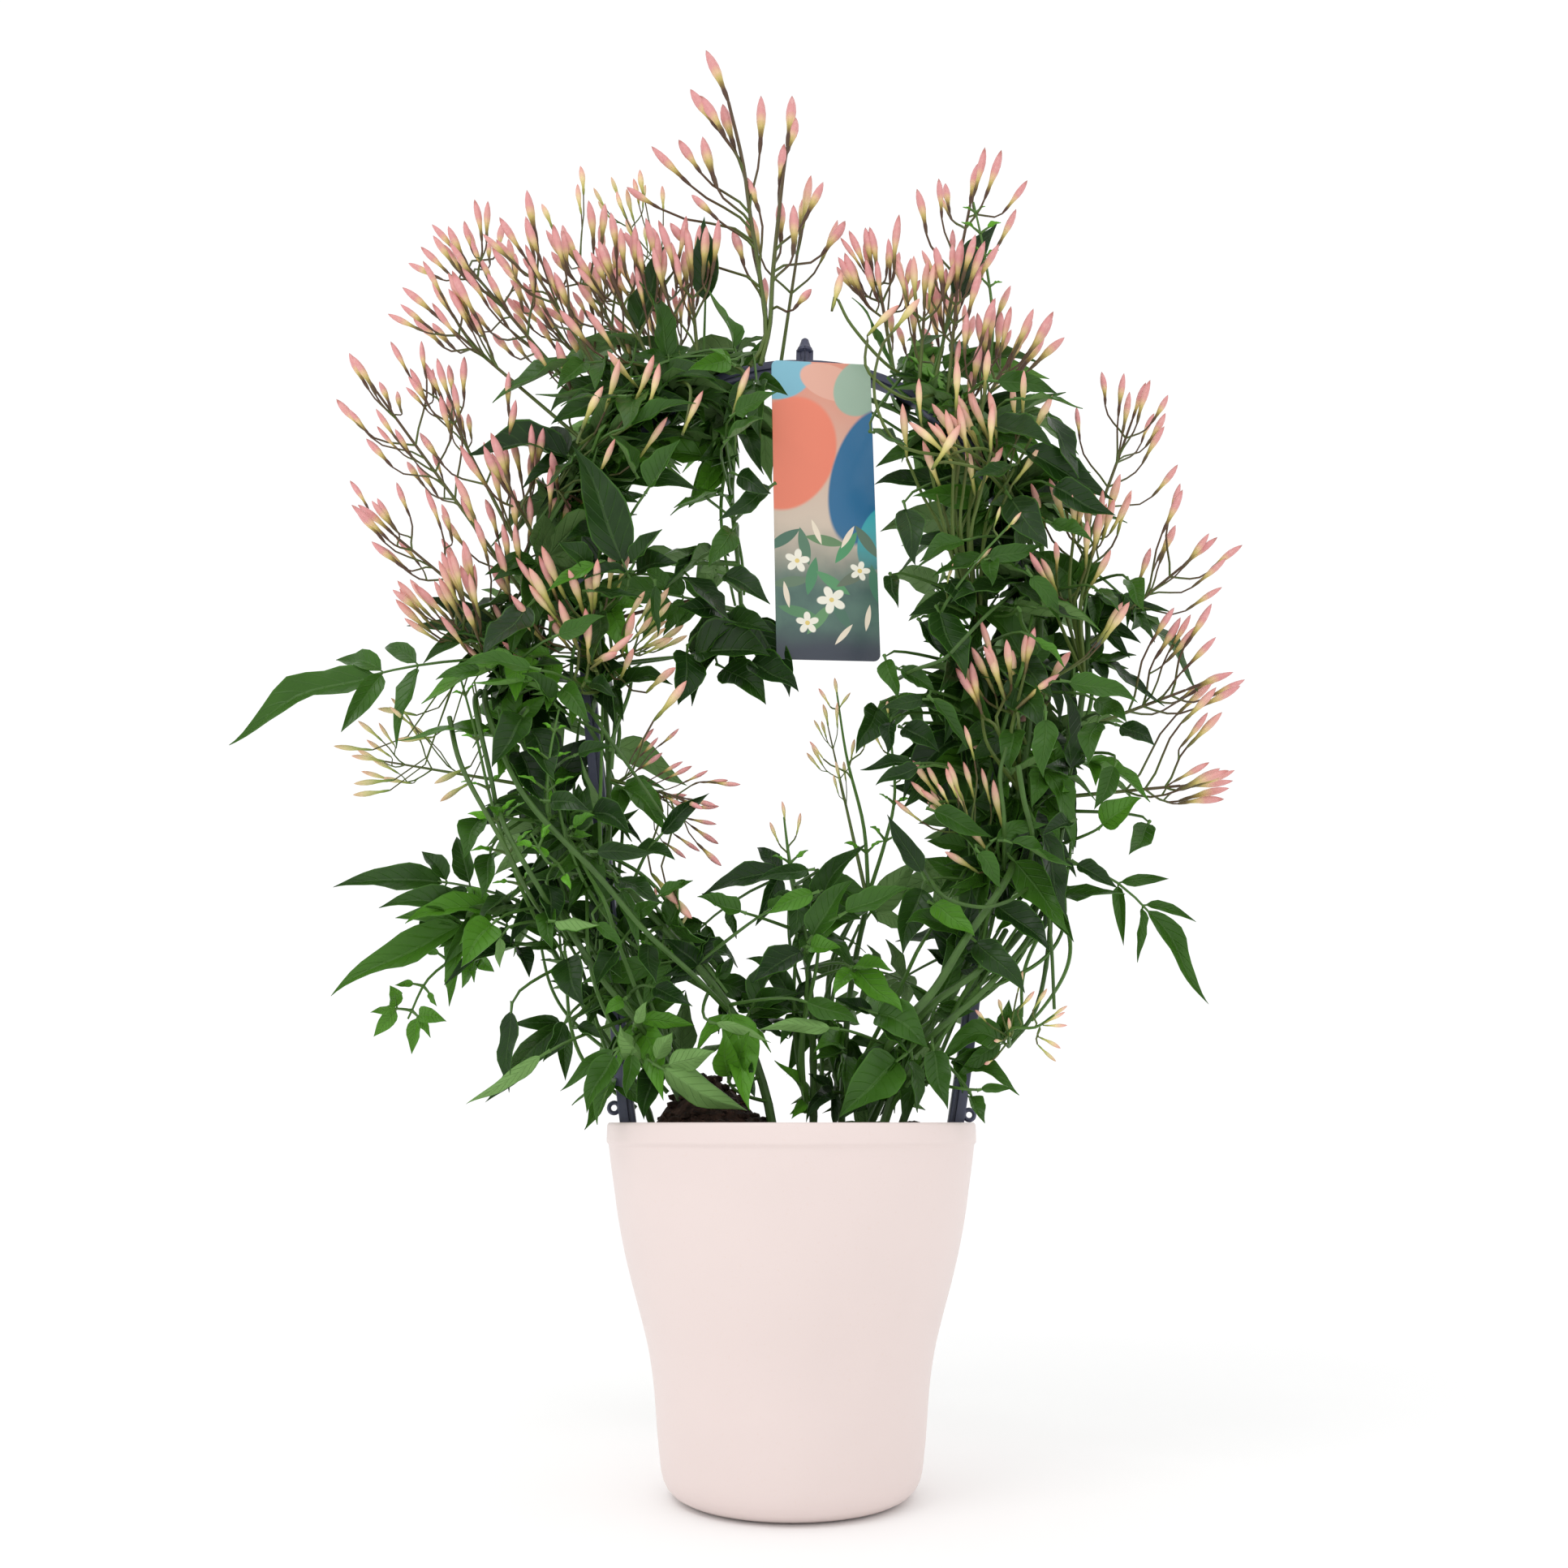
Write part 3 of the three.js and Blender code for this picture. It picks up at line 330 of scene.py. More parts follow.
# ---------------------------------------------------------------- materials
class Value:
    """A number or colour in a material, with the usual arithmetic for numbers."""

    def __init__(self, finish, socket):
        self.finish = finish
        self.socket = socket

    def __add__(self, other):
        return self.call("ADD", other)

    def __sub__(self, other):
        return self.call("SUBTRACT", other)

    def __rsub__(self, other):
        return self.finish.maths("SUBTRACT", other, self)

    def __mul__(self, other):
        return self.call("MULTIPLY", other)

    def __truediv__(self, other):
        return self.call("DIVIDE", other)

    def __abs__(self):
        return self.call("ABSOLUTE")

    __radd__, __rmul__ = __add__, __mul__

    def call(self, operation, *terms):
        return self.finish.maths(operation, self, *terms)

    def over(self, low, high):
        """0 below low, 1 above high, and eased between them."""
        settings = {"interpolation_type": "SMOOTHSTEP"}
        return self.finish.node("ShaderNodeMapRange", settings, {0: self, 1: low, 2: high, 3: 0.0, 4: 1.0})


class Finish:
    """A material with one surface shader, built a node at a time."""

    def __init__(self, name, **constants):
        self.material = bpy.data.materials.new(name)
        self.material.use_nodes = True
        self.tree = self.material.node_tree
        self.shader = next(n for n in self.tree.nodes if n.type == "BSDF_PRINCIPLED")
        self.wear(**constants)

    def node(self, kind, settings=None, values=None, output=0):
        node = self.tree.nodes.new(kind)
        for key, value in (settings or {}).items():
            if key == "stops":
                for _ in value[2:]:
                    node.color_ramp.elements.new(0.5)
                for element, (at, colour) in zip(node.color_ramp.elements, value):
                    element.position = at
                    element.color = (*colour, 1)
            else:
                setattr(node, key, value)
        for key, value in (values or {}).items():
            if isinstance(value, Value):
                self.tree.links.new(value.socket, node.inputs[key])
            else:
                node.inputs[key].default_value = value
        return Value(self, node.outputs[output])

    def wear(self, **inputs):
        """Sets the shader's sockets, with _ for a space in their names."""
        for key, value in inputs.items():
            socket = self.shader.inputs[key.replace("_", " ")]
            if isinstance(value, Value):
                self.tree.links.new(value.socket, socket)
            elif hasattr(socket.default_value, "__len__") and len(value) == 3:
                socket.default_value = (*value, 1) if len(socket.default_value) == 4 else value
            else:
                socket.default_value = value
        return self.material

    def maths(self, operation, *terms):
        return self.node("ShaderNodeMath", {"operation": operation}, dict(enumerate(terms)))

    def place(self):
        return self.node("ShaderNodeTexCoord", output="Object")

    def course(self, part):
        uv = self.node("ShaderNodeUVMap", {"uv_map": "course"})
        return self.node("ShaderNodeSeparateXYZ", values={0: uv}, output=part)

    def attribute(self, name):
        return self.node("ShaderNodeAttribute", {"attribute_name": name}, output="Fac")

    def noise(self, scale, detail=3.0, roughness=0.5):
        values = {"Vector": self.place(), "Scale": scale, "Detail": detail, "Roughness": roughness}
        return self.node("ShaderNodeTexNoise", values=values, output="Fac")

    def blend(self, a, b, factor):
        a, b = (v if isinstance(v, Value) else (*v, 1) for v in (a, b))
        return self.node("ShaderNodeMix", {"data_type": "RGBA"}, {0: factor, 6: a, 7: b}, output=2)

    def ramp(self, factor, *stops):
        return self.node("ShaderNodeValToRGB", {"stops": stops}, {0: factor})

    def bump(self, height, strength, distance):
        values = {"Height": height, "Strength": strength, "Distance": distance * MM}
        return self.node("ShaderNodeBump", values=values)


def linear(red, green, blue):
    """A colour given as it shows on a screen, 0 to 255, for the shader."""
    parts = [c / 255 for c in (red, green, blue)]
    return tuple(c / 12.92 if c <= 0.04045 else ((c + 0.055) / 1.055) ** 2.4 for c in parts)


def times(colour, factor):
    return tuple(factor * c for c in colour)


# ---------------------------------------------------------------- what a user would change
def colour(name, description, default):
    return bpy.props.FloatVectorProperty(
        name=name, description=description, default=linear(*default), subtype="COLOR", min=0, max=1
    )


def number(name, description, default, unit="NONE"):
    return bpy.props.FloatProperty(
        name=name, description=description, default=default, unit=unit, subtype="UNSIGNED", min=0
    )


def length(name, description, default):
    return bpy.props.FloatProperty(
        name=name, description=description, default=default * MM, unit="LENGTH", min=0, precision=4
    )


class JASMINE_PG_pot(bpy.types.PropertyGroup):
    rim_radius: length("Rim radius", "Outer radius of the cover pot at its rim", RIM_RADIUS)
    height: length("Height", "Height of the cover pot", POT_HEIGHT)
    wall: length("Wall", "Thickness of the cover pot's wall", 2.4)
    cream: colour("Cream", "Colour of the cover pot", (230, 214, 210))
    peat: colour("Peat", "Colour of the soil", (58, 40, 32))


class JASMINE_PG_hoop(bpy.types.PropertyGroup):
    bar_width: length("Bar width", "Width of the hoop's bar, seen from the front", 6.5)
    bar_depth: length("Bar depth", "Depth of the hoop's bar", 5)
    slate: colour("Slate", "Colour of the hoop", (75, 78, 100))


class JASMINE_PG_label(bpy.types.PropertyGroup):
    width: length("Width", "Width of the label", LABEL_WIDTH)
    height: length("Height", "Height of the label", LABEL_HEIGHT)
    thickness: length("Thickness", "Thickness of the label", 0.6)


class JASMINE_PG_leaves(bpy.types.PropertyGroup):
    deep: colour("Deep green", "Colour of an old leaf", (21, 47, 13))
    fresh: colour("Fresh green", "Colour of a younger leaf", (58, 100, 27))
    lime: colour("Lime", "Colour of a shoot's newest leaves", (112, 184, 48))
    pale: colour("Pale green", "Colour of a leaf's underside", (106, 140, 80))
    stem: colour("Stem green", "Colour of the stems", (66, 100, 38))
    seed: bpy.props.IntProperty(
        name="Seed", description="Another number gives other filling leaves", default=7
    )


class JASMINE_PG_buds(bpy.types.PropertyGroup):
    pink: colour("Pink", "Colour of a ripe bud", (221, 152, 150))
    cream: colour("Cream", "Colour of the middle of a bud", (226, 188, 146))
    stalk: colour("Stalk", "Colour of a spray's stalks", (84, 62, 42))


class JASMINE_PG_stage(bpy.types.PropertyGroup):
    light: number("Light", "Power of the main light", 22, unit="POWER")
    surround: number("Surround", "Strength of the light all round", 1.06)


# ---------------------------------------------------------------- finishes
def pot_finish(settings):
    finish = Finish("cream_ceramic", Coat_Weight=0.15, Coat_Roughness=0.25)
    cream = tuple(settings.cream)
    speck = finish.noise(900, 2).over(0.64, 0.72)
    cloud = finish.noise(14, 3).over(0.3, 0.8)
    grain = finish.noise(420, 3)
    body = finish.blend(cream, times(cream, 0.93), cloud * 0.5)
    body = finish.blend(body, linear(226, 206, 198), speck * 0.35)
    return finish.wear(Base_Color=body, Roughness=0.4 + 0.12 * grain, Normal=finish.bump(grain, 0.12, 0.15))


def liner_finish():
    finish = Finish("black_plastic", Specular_IOR_Level=0.4)
    grain = finish.noise(600, 2)
    body = finish.blend(linear(28, 28, 30), linear(44, 43, 44), grain)
    return finish.wear(Base_Color=body, Roughness=0.5 + 0.2 * grain, Normal=finish.bump(grain, 0.2, 0.1))


def peat_finish(settings):
    finish = Finish("peat", Specular_IOR_Level=0.25)
    clod = finish.noise(260, 5, roughness=0.65)
    cells = {"Vector": finish.place(), "Scale": 420.0}
    fleck = finish.node("ShaderNodeTexVoronoi", values=cells, output="Distance")
    body = finish.blend(times(settings.peat, 0.4), times(settings.peat, 1.7), clod.over(0.35, 0.7))
    body = finish.blend(body, linear(122, 92, 66), finish.noise(700, 2).over(0.66, 0.72) * 0.6)
    relief = finish.bump(clod + fleck, 0.9, 1.2)
    return finish.wear(Base_Color=body, Roughness=0.85 + 0.15 * clod, Normal=relief)


def slate_finish(settings):
    finish = Finish("slate_plastic", Specular_IOR_Level=0.45)
    grain = finish.noise(1400, 2)
    scuff = finish.noise(90, 4).over(0.55, 0.75)
    body = finish.blend(tuple(settings.slate), times(settings.slate, 1.25), scuff * 0.5)
    rough = 0.42 + 0.15 * scuff + 0.05 * grain
    return finish.wear(Base_Color=body, Roughness=rough, Normal=finish.bump(grain, 0.12, 0.08))


def blade_finish(settings, underside):
    """A leaf, above or below: a pale midrib, side veins that sweep to the tip, a painted highlight along its
    border, and a soft quilting.
    """
    name = "leaf_underside" if underside else "leaf_top"
    finish = Finish(name, Specular_IOR_Level=0.2 if underside else 0.24)
    s = finish.course("X")
    w = abs(finish.course("Y") * 2 - 1)
    tone = finish.attribute("tone")
    age = finish.attribute("age")
    cloud = finish.noise(70, 3)
    midrib = (1 - w.over(0.02, 0.09)) * (1 - s * 0.6)
    # border: the band along each leaflet's edge, where a painted highlight is laid in a lighter green
    border = w.over(0.9, 0.97)
    sweep = (s * 8 - w * 1.7).call("FRACT")
    vein = (1 - abs(sweep * 2 - 1).over(0.0, 0.22)) * (1 - w.over(0.75, 1.0))
    shade = tone + (cloud - 0.5) * 0.6
    if underside:
        old = finish.blend(times(settings.pale, 0.75), times(settings.pale, 1.15), shade)
    else:
        old = finish.blend(tuple(settings.deep), tuple(settings.fresh), shade.over(0.0, 1.0))
    body = finish.blend(tuple(settings.lime), old, age)
    paler = finish.blend(body, times(settings.pale, 1.3), midrib * (0.35 if underside else 0.16))
    body = finish.blend(paler, times(settings.fresh, 1.1), vein * 0.2)
    # Painted highlight: the leaflet's border is lightened to stand for light catching its edge.
    body = finish.blend(body, times(settings.fresh, 1.4), border * 0.5)
    quilt = finish.noise(220, 2)
    relief = (vein + midrib * 2.4) * (0.8 if underside else -0.6) + quilt * 0.8
    rough = (0.5 if underside else 0.24) + 0.16 * cloud
    return finish.wear(Base_Color=body, Roughness=rough, Normal=finish.bump(relief, 0.6, 0.45))


def stem_finish(settings):
    finish = Finish("green_stem", Specular_IOR_Level=0.4)
    streak = finish.noise(160, 3)
    shade = (finish.attribute("tone") * 0.6 + streak * 0.6).over(0.2, 0.9)
    body = finish.blend(times(settings.stem, 0.6), times(settings.stem, 1.3), shade)
    body = finish.blend(linear(92, 60, 42), body, finish.attribute("age").over(0.0, 0.6))
    return finish.wear(Base_Color=body, Roughness=0.42 + 0.15 * streak, Normal=finish.bump(streak, 0.2, 0.2))


def stalk_finish(buds, leaves):
    """A spray's stalks: green at the root in the shade, brown-purple towards the buds."""
    finish = Finish("spray_stalk", Specular_IOR_Level=0.4)
    streak = finish.noise(300, 3)
    ripe = finish.attribute("age") * 0.55 + finish.course("Y") * 0.8 - 0.45 + (streak - 0.5) * 0.3
    young = finish.blend(times(leaves.stem, 1.1), linear(112, 104, 52), 0.3)
    body = finish.blend(young, tuple(buds.stalk), ripe.over(0.05, 0.75))
    return finish.wear(Base_Color=body, Roughness=0.45 + 0.15 * streak)


def bud_finish(settings):
    """A bud from its calyx to its apex: brown-green, yellow-green, cream, then pink; paler when young."""
    finish = Finish("jasmine_bud", Specular_IOR_Level=0.42)
    v = finish.course("Y")
    age = finish.attribute("age")
    streak = finish.noise(500, 3)
    at = v + (streak - 0.5) * 0.08 + (finish.attribute("tone") - 0.5) * 0.16
    ripe = finish.ramp(
        at,
        (0.0, tuple(settings.stalk)),
        (0.2, linear(80, 52, 38)),
        (0.3, linear(138, 116, 56)),
        (0.4, linear(200, 180, 106)),
        (0.5, tuple(settings.cream)),
        (0.62, tuple(settings.pink)),
        (0.88, linear(220, 150, 150)),
        (1.0, linear(186, 112, 104)),
    )
    pale = finish.ramp(
        at,
        (0.0, linear(104, 118, 54)),
        (0.16, linear(150, 156, 70)),
        (0.36, linear(204, 194, 112)),
        (0.54, linear(236, 214, 160)),
        (0.76, linear(236, 184, 164)),
        (1.0, linear(222, 146, 136)),
    )
    green = finish.ramp(
        at,
        (0.0, linear(88, 120, 52)),
        (0.3, linear(140, 164, 78)),
        (0.7, linear(204, 200, 136)),
        (1.0, linear(206, 180, 132)),
    )
    body = finish.blend(finish.blend(green, pale, age.over(0.1, 0.45)), ripe, age.over(0.5, 0.95))
    dusty = finish.blend(body, linear(246, 220, 208), streak.over(0.45, 0.85) * (0.3 * v.over(0.4, 0.7)))
    groove = abs((finish.course("X") * 5).call("FRACT") * 2 - 1)
    relief = finish.bump(groove + streak, 0.18, 0.2)
    return finish.wear(Base_Color=dusty, Roughness=0.46 + 0.12 * streak, Normal=relief)


def label_finish():
    """A glossy printed card: soft rounded fields of colour over a border of leaves and small flowers."""
    finish = Finish("printed_card", Roughness=0.3, Coat_Weight=0.25, Coat_Roughness=0.2)
    x, z = (finish.course("X") - 0.5) * LABEL_WIDTH, (finish.course("Y") - 0.5) * LABEL_HEIGHT

    def turned(at, degrees):
        c, s = math.cos(math.radians(degrees)), math.sin(math.radians(degrees))
        return (x - at[0]) * c + (z - at[1]) * s, (z - at[1]) * c - (x - at[0]) * s

    def reach(p, q):
        return (p * p + q * q).call("SQRT")

    def oval(at, long, wide, degrees):
        p, q = turned(at, degrees)
        return 1 - reach(p / long, q / wide).over(0.92, 1)

    def leaf(at, long, wide, degrees):
        p, q = turned(at, degrees)
        return 1 - (abs(q / wide) + (p / long) * (p / long)).over(0.9, 1)

    def flower(at, size, degrees):
        p, q = turned(at, degrees)
        petal = abs((q.call("ARCTAN2", p) * 2.5).call("COSINE")) * 0.6 + 0.4
        return 1 - (reach(p, q) / (petal * size)).over(0.88, 1)

    body = finish.blend(linear(214, 196, 178), linear(226, 150, 128), z.over(-10, 70))
    for tint, at, long, wide, degrees in (
        ((240, 132, 104), (-16, 26), 30, 22, 70),
        ((126, 186, 206), (-20, 66), 17, 14, 20),
        ((232, 176, 156), (4, 62), 15, 9, -20),
        ((158, 184, 164), (18, 60), 16, 12, 60),
        ((26, 104, 150), (20, 16), 36, 17, 74),
        ((52, 168, 178), (24, -14), 17, 9, 70),
    ):
        body = finish.blend(body, linear(*tint), oval(at, long, wide, degrees))
    hedge = finish.blend(linear(58, 84, 82), linear(92, 128, 112), finish.noise(110, 3))
    body = finish.blend(hedge, body, (z + finish.noise(60, 3) * 16).over(-34, 4))
    body = finish.blend(linear(52, 60, 74), body, (z + finish.noise(40, 2) * 12).over(-64, -46))
    for k in range(13):
        row, column = divmod(k, 5)
        at = (-19 + 9.4 * column + 3 * row, -16 - 17 * row - 3 * (k % 2))
        tint = linear(70 + 14 * (k % 3), 112 + 12 * (k % 4), 92 + 6 * (k % 2))
        body = finish.blend(body, tint, leaf(at, 9.5, 2.6, 35 + 67 * k))
    flowers = ((-13, -26), 6, 10), ((2, -44), 7, 40), ((15, -30), 5, 75), ((-9, -55), 5.5, 20)
    for at, size, degrees in flowers:
        body = finish.blend(body, linear(246, 242, 226), flower(at, size, degrees))
        body = finish.blend(body, linear(232, 206, 120), oval(at, 1.1, 1.1, 0))
    sprigs = ((10, -14), 60), ((-4, -12), 110), ((18, -52), 80), ((-18, -42), 100), ((7, -60), 50)
    for at, degrees in sprigs:
        body = finish.blend(body, linear(240, 226, 204), leaf(at, 6.5, 1.3, degrees))
    return finish.wear(Base_Color=body)


# ---------------------------------------------------------------- pots and soil
LINER = [[43, 3.3], [54, 58], [64.2, 97], [71.5, 134]]
LINER_WALL = 0.9
SOIL_LEVEL = 127


def liner_radius(z):
    return np.interp(z, [p[1] for p in LINER], [p[0] for p in LINER]) - LINER_WALL


def soil_height(x, y):
    r = np.hypot(x, y) / 70
    bed = SOIL_LEVEL + 9 * (1 - r * r)
    heap = 25 * np.exp(-(((x + 36) / 19) ** 2) - ((y + 4) / 30) ** 2)
    low = 8 * np.exp(-(((x - 52) / 11) ** 2) - ((y + 2) / 24) ** 2)
    crumb = 1.3 * np.sin(0.31 * x + 1.7) * np.cos(0.27 * y + 0.4)
    return bed + heap + low + crumb * (1 - r**4)


class JASMINE_OT_cover_pot(bpy.types.Operator):
    """Turns the cream cover pot with its rounded foot, full belly and stepped lip"""

    bl_idname = "jasmine.cover_pot"
    bl_label = "Cover pot"

    def execute(self, context):
        settings = context.scene.jasmine_pot
        rim, top, wall = settings.rim_radius / MM, settings.height / MM, settings.wall / MM
        foot = [[0, 0.6], [34, 0.6], [37.5, 0], [40.5, 0.2], [44.5, 1.4], [47.6, 3.6], [49.6, 6.6]]
        body = [[50.6, 10], [51.3, 15], [52.1, 21], [53.0, 30], [54.3, 42], [56.5, 54]]
        body += [[59.9, 66.4], [63.6, 78.6]]
        upper = [[66.9, 90.8], [69.6, 103.2], [71.7, 115.7], [73.4, 126], [74.0, 130.4]]
        side = through([(r, 0, z) for r, z in [*foot[3:], *body, *upper]])
        outside = [[p[0], p[2]] for p in side.at(np.linspace(0, 1, 46))]
        lip = [[74.1, 131.2], [74.4, 131.7], [74.9, 132.2], [rim, 133.0], [rim, 136], [rim, top - 1.4]]
        lip += [[rim - 0.25, top - 0.5], [rim - 0.9, top], [rim - 1.7, top - 0.1], [rim - wall, top - 0.9]]
        inside = [[r - wall, z] for r, z in [*body[3:], *upper][::-1]] + [[47, 8], [44, 3.4], [40, 3], [0, 3]]
        profile = foot[:3] + outside + lip + inside
        obj = spun("cover_pot_glazed", profile, 112)
        smooth(obj, 40)
        wear(obj, pot_finish(settings))
        declare(obj, ["cover_pot"])
        return {"FINISHED"}


class JASMINE_OT_nursery_pot(bpy.types.Operator):
    """Turns the thin black nursery pot that stands inside, with its rolled rim"""

    bl_idname = "jasmine.nursery_pot"
    bl_label = "Nursery pot"

    def execute(self, context):
        rolled = [[71.5, 131.5], [71.7, 132], [71.7, 133.7], [71.4, 134], [70.8, 134], [70.6, 133.6]]
        outside = [[0, 3.3], [41.8, 3.3], [43, 4], *LINER[1:3], *rolled]
        inside = [[r - LINER_WALL, z] for r, z in LINER[::-1][1:3]] + [[42, 4.2], [0, 4.2]]
        obj = spun("nursery_pot_black", outside + inside, 72)
        smooth(obj, 40)
        wear(obj, liner_finish())
        declare(obj, ["nursery_pot"])
        return {"FINISHED"}


class JASMINE_OT_soil(bpy.types.Operator):
    """Heaps the crumbly peat, with loose crumbs and bits of bark on it"""

    bl_idname = "jasmine.soil"
    bl_label = "Soil"

    def execute(self, context):
        floor = LINER[0][1] + LINER_WALL + 0.3
        edge = liner_radius(SOIL_LEVEL) - 0.3
        rings = np.concatenate([np.linspace(0, 66, 34), [edge]])
        profile = [[r, SOIL_LEVEL] for r in rings] + [[liner_radius(z) - 0.3, z] for z in (97, 58, floor)]
        obj = spun("soil_peat", profile + [[0, floor]], 96)
        rng = random.Random(3)
        for vertex in obj.data.vertices:
            x, y, z = vertex.co.x / MM, vertex.co.y / MM, vertex.co.z / MM
            if z > SOIL_LEVEL - 1 and math.hypot(x, y) < edge - 0.5:
                rough = 0.9 * math.sin(x * 1.9 + 2 * math.cos(y * 1.3)) * math.cos(y * 1.7 + x * 0.6)
                vertex.co.z = (soil_height(x, y) + rough + rng.uniform(-0.5, 0.5)) * MM
        gather = Gather()
        crumb = start(bpy.ops.mesh.primitive_ico_sphere_add, subdivisions=1, radius=1)
        bpy.ops.transform.vertex_random(offset=0.3, seed=4)
        shape = Shape(settle(crumb))
        for _ in range(750):
            r, turn = 67 * math.sqrt(rng.random()), rng.uniform(0, 2 * math.pi)
            x, y = r * math.cos(turn), r * math.sin(turn)
            size = rng.choice([0.7, 0.9, 1.2, 1.6, 2.4])
            spin = rng.uniform(0, 6)
            c, s = math.cos(spin), math.sin(spin)
            points = shape.points * np.array([size * rng.uniform(0.8, 1.7), size, size * 0.75])
            turned = points @ np.array([[c, s, 0], [-s, c, 0], [0, 0, 1]])
            gather.put(shape, turned + np.array([x, y, soil_height(x, y) + 0.25 * size]))
        smooth(obj, 60)
        peat = peat_finish(context.scene.jasmine_pot)
        wear(obj, peat)
        declare(obj, ["soil"])
        gather.piece("soil_crumbs", [peat], [], "peat")
        return {"FINISHED"}


# ---------------------------------------------------------------- hoop
LEG = [[57.5, 100], [62.6, 118], [68.2, 146], [82.4, 250], [95.6, 350]]
ARCH = [[96.6, 378], [90, 415], [73, 447], [50, 469], [25, 480]]
HOOP_TOP = 483
POST_TOP = 498.2
RIGHT_SIDE = [(x, 0, z) for x, z in [*LEG, *ARCH]]
HOOP_COURSE = through([(-x, y, z) for x, y, z in RIGHT_SIDE] + [(0, 0, HOOP_TOP)] + RIGHT_SIDE[::-1])
HOOP_LEAN = math.radians(1.1)
LABEL_CENTRE = np.array([15.2, -9.6, 408])
LABEL_YAW = math.radians(7)
LABEL_ROLL = math.radians(-1)


def leaned(points):
    """The hoop leans a little to the right about the middle of the pot's rim."""
    x, y, z = points.T
    z = z - POT_HEIGHT
    c, s = math.cos(HOOP_LEAN), math.sin(HOOP_LEAN)
    return np.stack([x * c + z * s, y, z * c - x * s + POT_HEIGHT], -1)


def hung(points):
    """Turns something drawn about the label's centre as the label hangs."""
    x, y, z = points.T
    c, s = math.cos(LABEL_ROLL), math.sin(LABEL_ROLL)
    x, z = x * c + z * s, z * c - x * s
    c, s = math.cos(LABEL_YAW), math.sin(LABEL_YAW)
    return np.stack([x * c - y * s, x * s + y * c, z], -1) + LABEL_CENTRE


class JASMINE_OT_hoop(bpy.types.Operator):
    """Bends the grooved hoop, with its ribbed top post, cap, eyelets and the label's clip"""

    bl_idname = "jasmine.hoop"
    bl_label = "Hoop"

    def execute(self, context):
        settings = context.scene.jasmine_hoop
        gather = Gather()
        self.bar(gather, settings.bar_width / MM / 2, settings.bar_depth / MM / 2)
        self.top(gather)
        for side in (-1, 1):
            self.eyelet(gather, side)
        gather.piece("hoop_frame", [slate_finish(settings)], ["hoop"], "hoop", sharp=32)
        return {"FINISHED"}

    def bar(self, gather, w, d):
        """The grooved bar, from half its width and half its depth."""
        section = [(d, 0.6), (d - 1.2, 0.75), (d - 1.2, 1.75), (d, 1.9), (d, w - 0.7), (d - 0.2, w - 0.2)]
        section += [(d - 0.7, w), (-d + 0.7, w), (-d + 0.2, w - 0.2), (-d, w - 0.7)]
        section += [(-d, -w + 0.7), (-d + 0.2, -w + 0.2), (-d + 0.7, -w)]
        section += [(d - 0.7, -w), (d - 0.2, -w + 0.2), (d, -w + 0.7)]
        bar = rod_shape(len(section), 120)
        x, y, share = bar.points.T
        corner = np.round(np.arctan2(y, x) / (2 * math.pi) * len(section)).astype(int) % len(section)
        across = np.array(section)[corner]
        side = np.cross(HOOP_COURSE.along(share), -BACK)
        gather.put(bar, leaned(HOOP_COURSE.at(share) - BACK * across[:, :1] + side * across[:, 1:]))

    def top(self, gather):
        """The post with its cap and ribs, and the clip that holds the label."""
        post = [(0, 2.3), (0.55, 2.2), (0.57, 3.6), (0.66, 3.7)]
        cap = [(0.7, 3.1), (0.9, 2.0), (0.97, 1.7), (1, 1.0)]
        axis = Line(leaned(np.array([[0, 0, HOOP_TOP - 1], [0, 0, POST_TOP]])))
        bent_rod(gather, axis, post + cap, 14, 24)
        rib = rod_shape(4, 1)
        for size in ([0.8, 4.3, 9.5], [4.0, 0.8, 9.5]):
            gather.put(rib, leaned(rib.points * np.array(size) + UP * HOOP_TOP))
        clip = rod_shape(8, 3)
        x, y, z = clip.points.T
        swell = np.interp(z, [0, 0.33, 0.67, 1], [0.92, 1, 1, 0.92])
        gather.put(clip, hung(np.stack([x * 4.9 * swell, 0.3 + z * 7.4, y * 3.8 * swell + 70], -1)))

    def eyelet(self, gather, side):
        ring = rod_shape(8, 20)
        x, y, z = ring.points.T
        turn = z * 2 * math.pi
        reach = 2.1 + 0.9 * x
        points = np.stack([side * 73 + reach * np.cos(turn), 0.9 * y, 144.4 + reach * np.sin(turn)], -1)
        gather.put(ring, leaned(points))


class JASMINE_OT_label(bpy.types.Operator):
    """Cuts the printed card, a little bowed, that hangs from the hoop's clip"""

    bl_idname = "jasmine.label"
    bl_label = "Label"

    def execute(self, context):
        settings = context.scene.jasmine_label
        w, h, thick = (getattr(settings, k) / MM for k in ("width", "height", "thickness"))
        obj = start(bpy.ops.mesh.primitive_plane_add, size=1)
        bpy.ops.transform.resize(value=(w, h, 1))
        bpy.ops.mesh.bevel(offset=3, offset_type="OFFSET", segments=5, affect="VERTICES")
        for k in range(1, 12):
            bpy.ops.mesh.select_all(action="SELECT")
            bpy.ops.mesh.bisect(plane_co=(0, h * (k / 12 - 0.5), 0), plane_no=(0, 1, 0))
        settle(obj)
        wear(obj, None, None)
        modify(obj, "SOLIDIFY", thickness=thick, offset=1)
        modify(obj, "BEVEL", width=0.12, segments=1, limit_method="ANGLE")
        wrap(obj, lambda point: (point.x / w + 0.5, point.y / h + 0.5))
        for face in obj.data.polygons:
            face.material_index = int(face.normal.z < -0.9)
        card = Shape(obj)
        x, z, lift = card.points.T
        bow = 0.25 * (1 - (2 * x / w) ** 2)
        gather = Gather()
        gather.put(card, hung(np.stack([x, -lift - bow, z], -1)))
        plain = Finish("plain_card", Base_Color=linear(232, 228, 222), Roughness=0.45)
        gather.piece("label_card", [label_finish(), plain.material], ["label"], "card", sharp=30)
        return {"FINISHED"}


